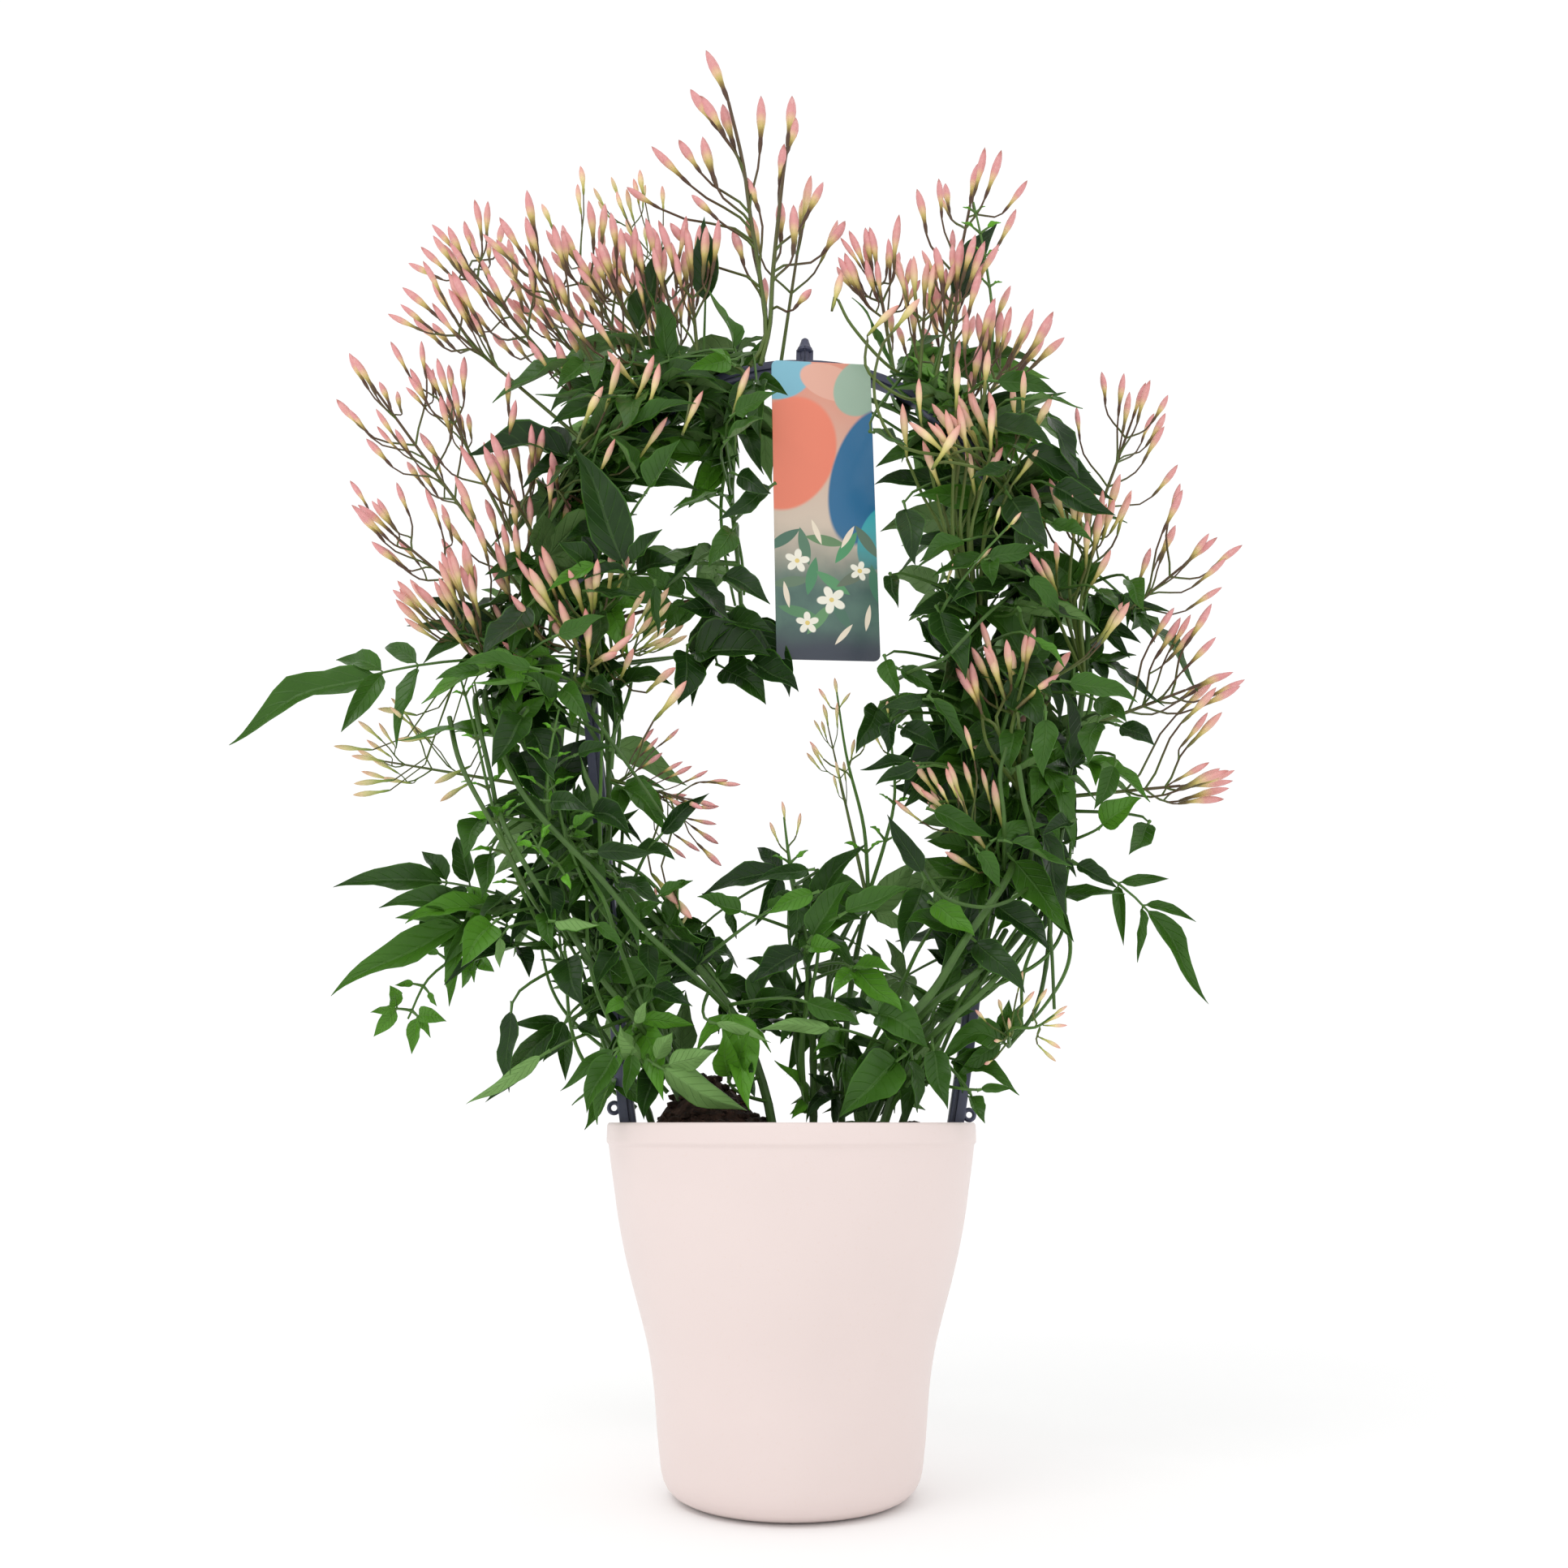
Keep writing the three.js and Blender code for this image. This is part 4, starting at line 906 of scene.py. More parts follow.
# ---------------------------------------------------------------- stems
# Each stem's radius, the stem that carries it ("" is the soil), and its course from root to tip.
STEMS = {
    "left_front": (1.9, "", [(-4, -18, 112), (-10, -20, 150), (-22, -22, 180), (-42, -24, 206),
        (-66, -22, 232), (-90, -18, 257), (-108, -15, 286), (-121, -13, 312), (-130, -12, 336)]),
    "left_low": (1.7, "", [(-30, -12, 112), (-46, -14, 152), (-64, -15, 184), (-80, -12, 206),
        (-96, -4, 236), (-107, 5, 268), (-113, 8, 298)]),
    "left_outer": (1.5, "", [(-50, 4, 112), (-62, 8, 150), (-77, 12, 172), (-91, 14, 192), (-104, 14, 214),
        (-119, 12, 234)]),
    "left_back": (1.7, "", [(-28, 16, 112), (-46, 17, 160), (-64, 17, 205), (-80, 17, 250), (-88, 17, 300),
        (-92, 17, 342)]),
    "left_inner": (1.4, "left_front", [(-72, -18, 240), (-77, -12, 262), (-79, -9, 300), (-84, -9, 340),
        (-86, -10, 376)]),
    "left_mid": (1.6, "left_low", [(-113, 8, 300), (-116, 2, 328), (-116, -7, 362), (-109, -11, 396),
        (-97, -13, 424)]),
    "left_top": (1.6, "left_mid", [(-97, -13, 426), (-80, -13, 450), (-56, -12, 470), (-34, -11, 481),
        (-14, -10, 485)]),
    "back_left": (1.6, "left_back", [(-92, 17, 344), (-97, 15, 386), (-88, 15, 424), (-64, 15, 456),
        (-34, 14, 473), (-6, 13, 482)]),
    "crown": (1.3, "back_left", [(-24, 12, 474), (-26, 8, 452), (-27, 3, 420), (-24, 0, 388),
        (-22, -2, 362)]),
    "right_front": (1.9, "", [(28, -16, 112), (46, -18, 163), (66, -20, 192), (81, -19, 224),
        (91, -17, 254), (99, -15, 288), (104, -13, 320)]),
    "right_low": (1.7, "", [(36, -3, 112), (50, -4, 152), (64, -7, 181), (84, -12, 204), (99, -14, 222),
        (112, -10, 250), (119, -7, 284)]),
    "right_back": (1.7, "", [(20, 16, 112), (44, 17, 160), (66, 17, 200), (82, 17, 250), (93, 17, 300),
        (100, 17, 342)]),
    "right_mid": (1.6, "right_front", [(104, -13, 322), (109, -11, 350), (108, -11, 384), (97, -12, 418)]),
    "right_outer": (1.5, "right_low", [(119, -7, 286), (127, -4, 318), (132, -2, 350), (131, 0, 386)]),
    "right_top": (1.6, "right_mid", [(97, -12, 420), (85, -13, 444), (66, -13, 462), (46, -12, 475)]),
    "back_right": (1.6, "right_back", [(101, 17, 344), (105, 15, 384), (97, 15, 424), (78, 15, 450),
        (52, 14, 468), (28, 13, 478)]),
    "right_inner": (1.4, "right_front", [(90, -16, 252), (83, -12, 270), (79, -10, 300), (80, -9, 330),
        (86, -9, 362)]),
    "right_hanging": (1.1, "right_low", [(113, -12, 252), (108, -16, 236), (106, -16, 212), (99, -16, 184),
        (88, -15, 170)]),
    "centre": (1.6, "", [(8, -8, 112), (9, -9, 150), (8, -9, 190), (4, -8, 222), (0, -7, 242)]),
    "centre_right": (1.5, "", [(20, 0, 112), (21, 0, 150), (25, 0, 195), (33, -1, 234)]),
}
DRY_TENDRIL = [(-85, -10, 352), (-70, -8, 358), (-50, -6, 364), (-31, -4, 369)]

# Leaves of each stem: place along it (0 root, 1 tip), the leaf's tip, its end leaflet's length, its
# pairs of leaflets, and what sets it apart: age from 0 (lime) to 1, breadth, how far its stalk
# arches, and whether it faces the front or shows its underside.
LEAVES = [
    ("left_front", [
        (1, (-237, -26, 296), 66, 2, {"age": 0.85, "broad": 1.15, "facing": "front"}),
        (0.84, (-159, -46, 291), 58, 1, {"age": 0.7}), (0.44, (-42, -48, 232), 36, 1),
        (0.3, (-15, -52, 144), 46, 1, {"age": 0.5})]),
    ("left_outer", [
        (1, (-198, 8, 238), 46, 2), (0.96, (-187, -14, 189), 58, 1, {"age": 0.75}),
        (0.84, (-141, -22, 195), 38, 1), (0.6, (-128, 10, 148), 44, 1, {"facing": "under"}),
        (0.4, (-82, -18, 137), 30, 1, {"age": 0.8})]),
    ("left_low", [
        (0.42, (-48, -44, 149), 36, 1, {"age": 0.55}), (0.9, (-140, 6, 262), 34, 1)]),
    ("left_inner", [
        (0.98, (-86, -38, 423), 60, 1), (0.6, (-49, -34, 319), 34, 1), (0.3, (-50, -30, 256), 34, 1)]),
    ("left_mid", [
        (0.55, (-146, -24, 343), 34, 1)]),
    ("left_top", [
        (0.06, (-144, -26, 427), 54, 1, {"broad": 1.2, "facing": "front"}), (0.5, (-71, -56, 422), 40, 1),
        (0.9, (-37, -24, 509), 44, 0), (0.97, (-13, -42, 426), 38, 1)]),
    ("back_left", [
        (0.5, (-124, 38, 470), 40, 1), (0.2, (-132, 48, 396), 40, 0), (0.8, (-52, 50, 500), 40, 0),
        (0.95, (-10, 46, 446), 40, 0)]),
    ("crown", [
        (1, (-44, -14, 314), 36, 1), (0.97, (0, -16, 317), 42, 1), (0.7, (-54, -26, 362), 36, 1),
        (0.5, (-50, -30, 398), 36, 1, {"age": 0.8})]),
    ("right_top", [
        (0.98, (28, -34, 498), 34, 0, {"broad": 0.5}), (0.75, (96, -12, 554), 46, 0),
        (0.3, (123, -24, 457), 44, 1)]),
    ("right_mid", [
        (0.9, (147, -20, 395), 46, 1), (0.5, (67, -50, 347), 42, 1)]),
    ("right_outer", [
        (1, (178, -8, 323), 42, 2), (0.55, (159, -16, 313), 36, 1),
        (0.1, (149, -24, 270), 32, 1, {"age": 0.6})]),
    ("back_right", [
        (0.15, (140, 46, 366), 40, 0), (0.45, (138, 44, 440), 40, 1), (0.72, (96, 46, 500), 40, 0),
        (0.95, (22, 48, 440), 40, 0)]),
    ("right_inner", [
        (0.7, (28, -8, 298), 30, 2), (0.35, (46, -20, 268), 30, 1), (0.9, (61, -46, 308), 38, 1)]),
    ("right_low", [
        (0.8, (171, -12, 187), 42, 2, {"broad": 0.62, "rise": 0.42}), (0.7, (136, -26, 230), 38, 1)]),
    ("right_front", [
        (0.8, (107, -52, 215), 46, 1), (0.5, (43, -54, 215), 38, 1), (0.34, (18, -50, 141), 38, 0)]),
    ("right_low", [
        (0.3, (90, -26, 151), 30, 1)]),
    ("left_back", [
        (0.35, (-88, 50, 168), 40, 0), (0.6, (-118, 46, 236), 40, 0), (0.85, (-48, 42, 292), 40, 0)]),
    ("right_back", [
        (0.35, (90, 50, 176), 40, 0), (0.6, (122, 46, 240), 40, 0), (0.85, (54, 42, 284), 40, 0)]),
    ("centre", [
        (1, (-37, -18, 232), 38, 1), (0.8, (30, -30, 252), 36, 1)]),
    ("centre_right", [
        (0.98, (10, -22, 211), 42, 0, {"age": 0.75}), (0.9, (58, 14, 250), 34, 1),
        (0.6, (42, -46, 181), 34, 0, {"age": 0.6}), (0.5, (30, 46, 196), 38, 0)]),
]

# More leaves: stem, place, tip, end leaflet's length, pairs, age and tone.
MORE_LEAVES = [
    ("left_inner", 0.7, (-150, -52, 304), 44, 3, 0.72, 0.9),
    ("left_inner", 0.5, (-128, -54, 312), 34, 2, 0.8, 0.9),
    ("left_mid", 0.3, (-168, -12, 352), 40, 2, 0.95, 0.1),
    ("left_mid", 0.35, (-156, -30, 330), 34, 2, 0.95, 0.3),
    ("left_top", 0.35, (-60, -20, 538), 46, 0, 1.0, 0.3),
    ("left_top", 0.75, (-38, -24, 548), 40, 0, 1.0, 0.2),
    ("left_top", 0.6, (-64, -30, 512), 36, 1, 1.0, 0.6),
    ("right_outer", 0.7, (168, -10, 362), 34, 2, 1.0, 0.2),
    ("right_outer", 0.85, (160, -12, 344), 34, 2, 1.0, 0.4),
    ("left_outer", 0.8, (-172, -12, 228), 40, 2, 0.95, 0.4),
    ("left_outer", 0.9, (-160, -18, 222), 36, 1, 0.7, 1.0),
]

# The dense parts of the ring: corners [x, z] of each on the sheet, how level its leaves lie, the
# shortest and longest end leaflet, and how many leaves stand in front, in the middle, behind, and
# past the edge.
THICKETS = [
    # arch left
    ([(-134, 462), (-104, 482), (-60, 488), (-20, 488), (-10, 470), (-10, 440), (-40, 432), (-62, 424),
        (-78, 404), (-98, 384), (-126, 380), (-124, 420), (-122, 440)],
        0.3, 34, 50, 22, 12, 10, 5),
    # arch top
    ([(-118, 462), (-60, 492), (-14, 486), (-12, 446), (-40, 440), (-66, 434), (-90, 440)],
        0.3, 30, 44, 12, 9, 8, 0),
    # left middle
    ([(-158, 372), (-90, 376), (-80, 345), (-82, 300), (-104, 290), (-138, 306), (-156, 338)],
        0, 28, 44, 9, 6, 5, 5),
    # left waist
    ([(-138, 290), (-80, 304), (-62, 256), (-46, 222), (-92, 204), (-130, 210), (-148, 256)],
        0, 26, 40, 10, 6, 5, 5),
    # left foot
    ([(-102, 206), (-54, 226), (-12, 216), (-6, 184), (-34, 180), (-60, 180), (-84, 176), (-104, 184)],
        0, 24, 38, 6, 4, 3, 1),
    # right foot
    ([(-12, 226), (20, 242), (58, 258), (88, 258), (90, 225), (74, 200), (66, 150), (60, 139), (-4, 139),
        (-10, 190)],
        0, 22, 38, 10, 5, 4, 1),
    # rim right
    ([(-6, 139), (56, 139), (60, 150), (70, 150), (66, 166), (40, 176), (-6, 172)],
        0, 20, 32, 5, 3, 3, 0),
    # right waist
    ([(58, 262), (50, 290), (62, 308), (130, 308), (148, 286), (134, 256), (108, 234), (84, 228)],
        0, 28, 44, 11, 7, 5, 6),
    # right middle
    ([(44, 345), (40, 322), (58, 306), (134, 306), (148, 340), (142, 374), (105, 394), (44, 390),
        (44, 365)],
        0, 32, 48, 15, 9, 6, 6),
    # right arch
    ([(42, 392), (105, 392), (142, 402), (140, 440), (116, 470), (84, 484), (44, 484), (40, 440)],
        0.2, 32, 48, 15, 10, 8, 5),
]


# The middle of the ring, which stays open, and the nearest and farthest depths of the thickets'
# three layers of leaves.
OPENING = [
    (-62, 262), (-30, 240), (20, 250), (40, 262), (42, 300), (26, 320), (10, 345), (-8, 315),
    (-40, 325), (-60, 345),
]
LAYERS = ((-40, -16), (-14, 8), (22, 50))

# Single leaflets that stand out in front: age, tone, if turned over, depth, the broadest, and for
# each its base [x, z] and tip [x, z] on the sheet and its half width in hundredths of its length.
BLADES = [
    (1.0, 0.1, False, -44, 25, [
        (-76, 467, -104, 464, 14), (-74, 391, -97, 446, 14), (-70, 391, -57, 408, 25),
        (-70, 388, -50, 393, 25), (-73, 388, -93, 385, 22), (-87, 410, -100, 402, 28),
        (-90, 390, -104, 403, 25), (-98, 440, -109, 428, 25), (-24, 432, -8, 424, 22),
        (-8, 427, -31, 410, 14), (-30, 387, -9, 374, 20), (-89, 379, -67, 377, 16), (-61, 382, -60, 358, 9),
        (-117, 373, -138, 350, 25), (-85, 370, -88, 348, 24), (-120, 323, -133, 299, 30),
        (-118, 317, -105, 293, 24), (-122, 306, -111, 282, 26), (-96, 305, -80, 309, 20),
        (-90, 338, -78, 332, 30), (-109, 284, -90, 281, 20), (-90, 279, -70, 271, 25),
        (-58, 269, -37, 289, 12), (-70, 264, -52, 258, 28), (-109, 246, -106, 226, 38),
        (-79, 250, -56, 238, 27), (-78, 216, -89, 201, 30), (-64, 219, -62, 202, 28),
        (-101, 214, -94, 191, 25), (-97, 181, -84, 177, 25), (-101, 185, -110, 166, 20),
        (-126, 190, -128, 152, 12), (-60, 162, -66, 140, 25), (-24, 168, -17, 150, 28),
        (6, 215, -17, 202, 24), (9, 253, -15, 249, 14), (60, 245, 50, 215, 22), (83, 222, 107, 198, 21),
        (94, 236, 119, 217, 23), (60, 365, 71, 347, 22), (68, 370, 79, 340, 24), (103, 350, 119, 331, 28),
        (99, 340, 116, 316, 28), (41, 327, 31, 306, 28), (46, 320, 44, 305, 30), (52, 317, 69, 307, 24),
        (57, 301, 32, 299, 12), (59, 299, 40, 291, 17), (62, 330, 42, 325, 16), (60, 251, 44, 278, 15),
        (150, 318, 167, 310, 22), (128, 275, 116, 269, 30), (130, 256, 148, 245, 20),
        (91, 455, 119, 444, 24), (117, 458, 132, 430, 20), (106, 443, 148, 421, 15),
        (119, 427, 147, 412, 20), (100, 422, 116, 398, 22), (52, 418, 58, 392, 20),
        (112, 372, 134, 366, 24), (38, 451, 53, 445, 24), (46, 386, 48, 372, 28), (-88, 262, -60, 262, 14),
        (100, 436, 84, 430, 26), (72, 384, 86, 368, 22), (-62, 200, -44, 191, 24), (38, 188, 20, 196, 18)]),
    (1.0, 0.55, False, -46, 25, [
        (-73, 454, -42, 465, 14), (-25, 459, -6, 469, 28), (-28, 448, -11, 458, 24),
        (-64, 426, -49, 448, 30), (-69, 432, -81, 450, 24), (-25, 408, -35, 390, 27),
        (-105, 359, -83, 368, 20), (-116, 344, -151, 346, 11), (-139, 344, -160, 339, 16),
        (-106, 328, -121, 343, 22), (-104, 335, -90, 320, 24), (-140, 277, -148, 258, 32),
        (-109, 235, -108, 217, 30), (-88, 229, -75, 217, 16), (-135, 262, -138, 241, 25),
        (-76, 245, -67, 218, 13), (-58, 242, -44, 249, 16), (-69, 232, -57, 240, 22),
        (-79, 171, -104, 154, 11), (-79, 169, -93, 143, 20), (-81, 167, -86, 138, 15),
        (-71, 170, -74, 150, 17), (-21, 234, -42, 241, 20), (-10, 234, 2, 241, 25), (11, 223, 30, 249, 20),
        (25, 233, 55, 244, 18), (101, 257, 127, 225, 21), (7, 193, 33, 184, 15), (39, 188, 64, 174, 24),
        (41, 183, 55, 170, 14), (50, 167, 24, 140, 24), (56, 168, 60, 143, 20), (65, 171, 71, 144, 21),
        (87, 154, 102, 155, 14), (82, 151, 88, 139, 34), (126, 338, 158, 329, 16), (139, 330, 154, 320, 28),
        (116, 322, 115, 295, 19), (102, 317, 100, 297, 27), (140, 320, 134, 301, 32),
        (148, 300, 139, 280, 18), (163, 274, 155, 259, 32), (94, 267, 117, 275, 12),
        (100, 266, 128, 254, 19), (65, 280, 91, 267, 14), (85, 262, 97, 245, 18), (94, 474, 122, 470, 14),
        (105, 466, 133, 463, 9), (80, 402, 59, 394, 21), (89, 395, 66, 385, 21), (90, 394, 116, 399, 17),
        (91, 394, 91, 381, 28), (96, 392, 111, 385, 22), (109, 387, 124, 366, 15), (139, 380, 151, 371, 28),
        (154, 384, 161, 370, 38), (118, 410, 137, 402, 22), (65, 330, 82, 308, 11), (44, 349, 49, 330, 20),
        (50, 344, 68, 333, 17)]),
    (0.78, 0.9, False, -47, 25, [
        (-25, 484, -45, 479, 22), (-25, 482, -36, 490, 22), (-27, 159, -31, 180, 24),
        (-26, 159, -17, 179, 24), (-98, 273, -88, 278, 30), (-98, 269, -90, 269, 26),
        (-128, 278, -120, 284, 26), (-130, 278, -136, 282, 26), (-87, 392, -110, 380, 13),
        (65, 237, 83, 223, 28), (10, 218, 23, 217, 30), (29, 209, 47, 209, 28), (29, 208, 20, 197, 34),
        (30, 207, 51, 188, 27), (142, 273, 160, 285, 28), (111, 358, 125, 345, 12), (12, 243, -11, 234, 15),
        (-75, 194, -84, 188, 34), (-134, 229, -150, 210, 30)]),
    (0.95, 0.8, True, -48, 25, [
        (-107, 230, -85, 229, 18), (-67, 167, -77, 182, 24), (-60, 167, -53, 180, 30),
        (-58, 164, -20, 142, 16), (-55, 165, -33, 170, 20), (19, 181, -14, 183, 9),
        (-111, 169, -145, 146, 7), (-70, 184, -64, 193, 34), (-34, 184, -8, 176, 9),
        (-131, 223, -131, 209, 14)]),
    (1.0, 0.05, False, -24, 32, [
        (-46, 387, -28, 367, 30), (-29, 371, -50, 372, 32), (-46, 352, -17, 369, 30),
        (-43, 350, -7, 351, 28), (-31, 345, -9, 329, 30), (-18, 347, 4, 333, 28), (-46, 353, -48, 327, 28),
        (-30, 365, -7, 360, 28)]),
]

# Thick shoots in front of the leaves: the stem each belongs to, radius, age, and course [x, depth, z]
# with x and z on the sheet.
FRONT_SHOOTS = [
    ("left_front", 1.4, 1.0, [(-138, -14, 334), (-136, -34, 323), (-119, -42, 286), (-86, -46, 250),
        (-64, -46, 225), (-43, -42, 205), (-28, -26, 190)]),
    ("left_outer", 1.5, 1.0, [(-108, 0, 244), (-98, -30, 225), (-84, -38, 203), (-72, -34, 188),
        (-56, -16, 166)]),
    ("left_mid", 1.2, 0.9, [(-140, -14, 334), (-142, -34, 328), (-135, -38, 293), (-130, -20, 270)]),
    ("left_outer", 1.1, 0.2, [(-154, -30, 322), (-149, -40, 301), (-130, -48, 266), (-116, -40, 240),
        (-104, -6, 226)]),
    ("left_outer", 1.2, 0.75, [(-132, -36, 282), (-126, -46, 268), (-114, -46, 246), (-100, -20, 222)]),
    ("left_inner", 0.9, 0.8, [(-92, -20, 328), (-84, -34, 316), (-65, -30, 289), (-54, -26, 273)]),
    ("right_low", 1.8, 1.0, [(40, -30, 166), (54, -46, 186), (66, -48, 199), (79, -48, 220), (97, -44, 247),
        (103, -20, 262)]),
    ("right_front", 1.6, 1.0, [(50, -24, 176), (65, -42, 192), (87, -42, 209), (98, -20, 226)]),
    ("right_low", 1.4, 1.0, [(54, -20, 168), (70, -40, 183), (87, -42, 198), (105, -38, 217),
        (116, -16, 236)]),
    ("right_front", 0.9, 0.5, [(60, -30, 256), (71, -50, 241), (87, -52, 236), (98, -50, 238),
        (112, -30, 248)]),
    ("right_low", 0.9, 1.0, [(116, -12, 262), (117, -32, 240), (119, -34, 217), (120, -34, 190)]),
    ("right_mid", 0.9, 0.3, [(50, -30, 340), (57, -46, 344), (70, -50, 349), (77, -50, 356), (89, -44, 368),
        (104, -16, 380)]),
    ("right_front", 1.0, 0.3, [(97, -20, 250), (97, -48, 277), (96, -50, 296), (98, -44, 308)]),
    ("right_front", 1.2, 1.0, [(104, -46, 300), (107, -46, 284), (110, -40, 268), (108, -18, 252)]),
]

# Long thin shoots that cross: the stem and place each leaves, the stem and place where it ends,
# and how far in front of both it passes.
CROSSINGS = [
    ("right_front", 0.15, "right_low", 0.75, 26), ("right_low", 0.15, "right_front", 0.72, 34),
    ("centre_right", 0.3, "right_inner", 0.1, 28), ("right_inner", 0.2, "right_mid", 0.5, 30),
    ("right_mid", 0.2, "right_inner", 0.95, 32), ("right_mid", 0.8, "right_top", 0.7, 28),
    ("left_low", 0.2, "left_front", 0.85, 28), ("left_low", 0.5, "left_inner", 0.6, 26),
    ("left_mid", 0.2, "left_inner", 0.95, 26), ("left_mid", 0.8, "left_top", 0.5, 26),
    ("left_top", 0.2, "crown", 0.6, 22),
]

# New shoots: the stem that carries each, its course, its age, and its small leaves as
# (place along it, leaflet length) or its buds as (place along it, tip [x, y, z]).
NEW_SHOOTS = [
    ("left_outer", [(-104, 14, 214), (-112, -22, 236), (-122, -34, 266), (-130, -36, 296),
        (-140, -32, 326)], 0.1,
        [(0.3, 9), (0.4, 11), (0.5, 11), (0.6, 9), (0.75, 6), (0.9, 5)],
        []),
    ("left_front", [(-96, -17, 266), (-99, -34, 262), (-98, -42, 284), (-95, -42, 304)], 0.25,
        [(0.25, 12), (0.45, 11), (0.65, 8), (0.85, 5)],
        []),
    ("left_front", [(-86, -18, 254), (-96, -40, 240), (-104, -44, 252)], 0.3,
        [(0.55, 11), (0.85, 10)],
        []),
    ("right_top", [(85, -13, 444), (92, -20, 490), (90, -18, 530), (86, -16, 560)], 0.25,
        [(0.6, 6), (0.74, 8), (0.85, 9), (0.95, 5)],
        []),
    ("centre_right", [(33, -1, 234), (31, -8, 262), (24, -10, 292), (20, -8, 322)], 0.3,
        [(0.2, 9)],
        [(0.55, (8, -8, 300)), (0.62, (34, -8, 306)), (0.9, (12, -8, 324)), (0.95, (26, -8, 322))]),
    ("centre_right", [(33, -1, 234), (40, -10, 256), (44, -12, 274), (42, -10, 312)], 0.3,
        [(0.3, 8), (0.5, 6)],
        [(0.6, (50, -12, 292)), (0.75, (35, -12, 304))]),
    ("centre", [(1, -7, 238), (-1, -9, 250), (-3, -10, 266)], 0.4,
        [(0.3, 8)],
        [(0.5, (4, -10, 268)), (0.4, (-9, -10, 264))]),
    ("left_low", [(-64, -15, 184), (-54, -20, 204), (-50, -22, 228)], 0.45,
        [(0.5, 9)],
        [(0.4, (-42, -22, 224)), (0.7, (-56, -22, 234))]),
    ("left_outer", [(-104, 14, 214), (-130, 8, 214), (-152, 2, 200), (-160, 0, 182)], 0.7,
        [(0.4, 14), (0.6, 13), (0.8, 10), (0.95, 14)],
        []),
    ("right_hanging", [(88, -15, 170), (87, -34, 176), (95, -38, 176), (103, -36, 181)], 0.5,
        [],
        [(0.3, (79, -36, 171)), (0.25, (81, -38, 187)), (0.4, (91, -38, 198)), (0.6, (95, -40, 190)),
        (0.75, (100, -40, 191)), (0.9, (107, -38, 182)), (0.9, (108, -36, 177)), (0.8, (105, -36, 168)),
        (0.8, (103, -36, 163)), (0.5, (85, -36, 180)), (0.2, (72, -36, 183)), (0.1, (75, -36, 162))]),
    ("right_inner", [(80, -9, 330), (62, -30, 344), (76, -44, 366), (92, -46, 384)], 0.25,
        [(0.2, 7)],
        [(0.5, (68, -42, 368)), (0.65, (84, -44, 374)), (0.8, (96, -46, 388)), (0.9, (88, -46, 392))]),
]


def leaflet_shape(columns, rows, outline):
    """A flat leaflet of length 1 and half width 1, closed all round, and Z in millimetres."""
    obj = start(bpy.ops.mesh.primitive_grid_add, x_subdivisions=columns, y_subdivisions=rows, size=1)
    bpy.ops.object.mode_set(mode="OBJECT")
    for vertex in obj.data.vertices:
        even = vertex.co.x + 0.5
        vertex.co = (mix(even, 0.5 - 0.5 * math.cos(math.pi * even), 0.55), vertex.co.y * 2, 0)
    wrap(obj, lambda point: (point.x, point.y / 2 + 0.5))
    for vertex in obj.data.vertices:
        vertex.co.y *= np.interp(vertex.co.x, *zip(*outline))
    edit_all()
    bpy.ops.mesh.remove_doubles(threshold=1e-4)
    settle(obj)
    wear(obj, None, None)
    modify(obj, "SOLIDIFY", thickness=0.38, offset=-1, material_offset=1)
    return Shape(obj)


# The outline of an end leaflet and of a side leaflet: how far along, and the half width there.
LANCE = [
    (0, 0.08), (0.04, 0.46), (0.1, 0.76), (0.2, 0.97), (0.3, 1.0), (0.42, 0.95), (0.55, 0.81),
    (0.68, 0.59), (0.8, 0.35), (0.9, 0.14), (0.96, 0.05), (1, 0),
]
OVAL = [
    (0, 0.12), (0.05, 0.55), (0.13, 0.86), (0.25, 1.0), (0.4, 0.98), (0.55, 0.85), (0.7, 0.61),
    (0.84, 0.32), (0.93, 0.13), (1, 0),
]
SHAPES = {}


def shapes():
    """The two leaflets, modelled when the first leaf grows."""
    if not SHAPES:
        SHAPES["end"] = leaflet_shape(12, 4, LANCE)
        SHAPES["side"] = leaflet_shape(8, 2, OVAL)
    return SHAPES


# The slot of the stems' material, after those of a leaf's two sides.
STEM = 2


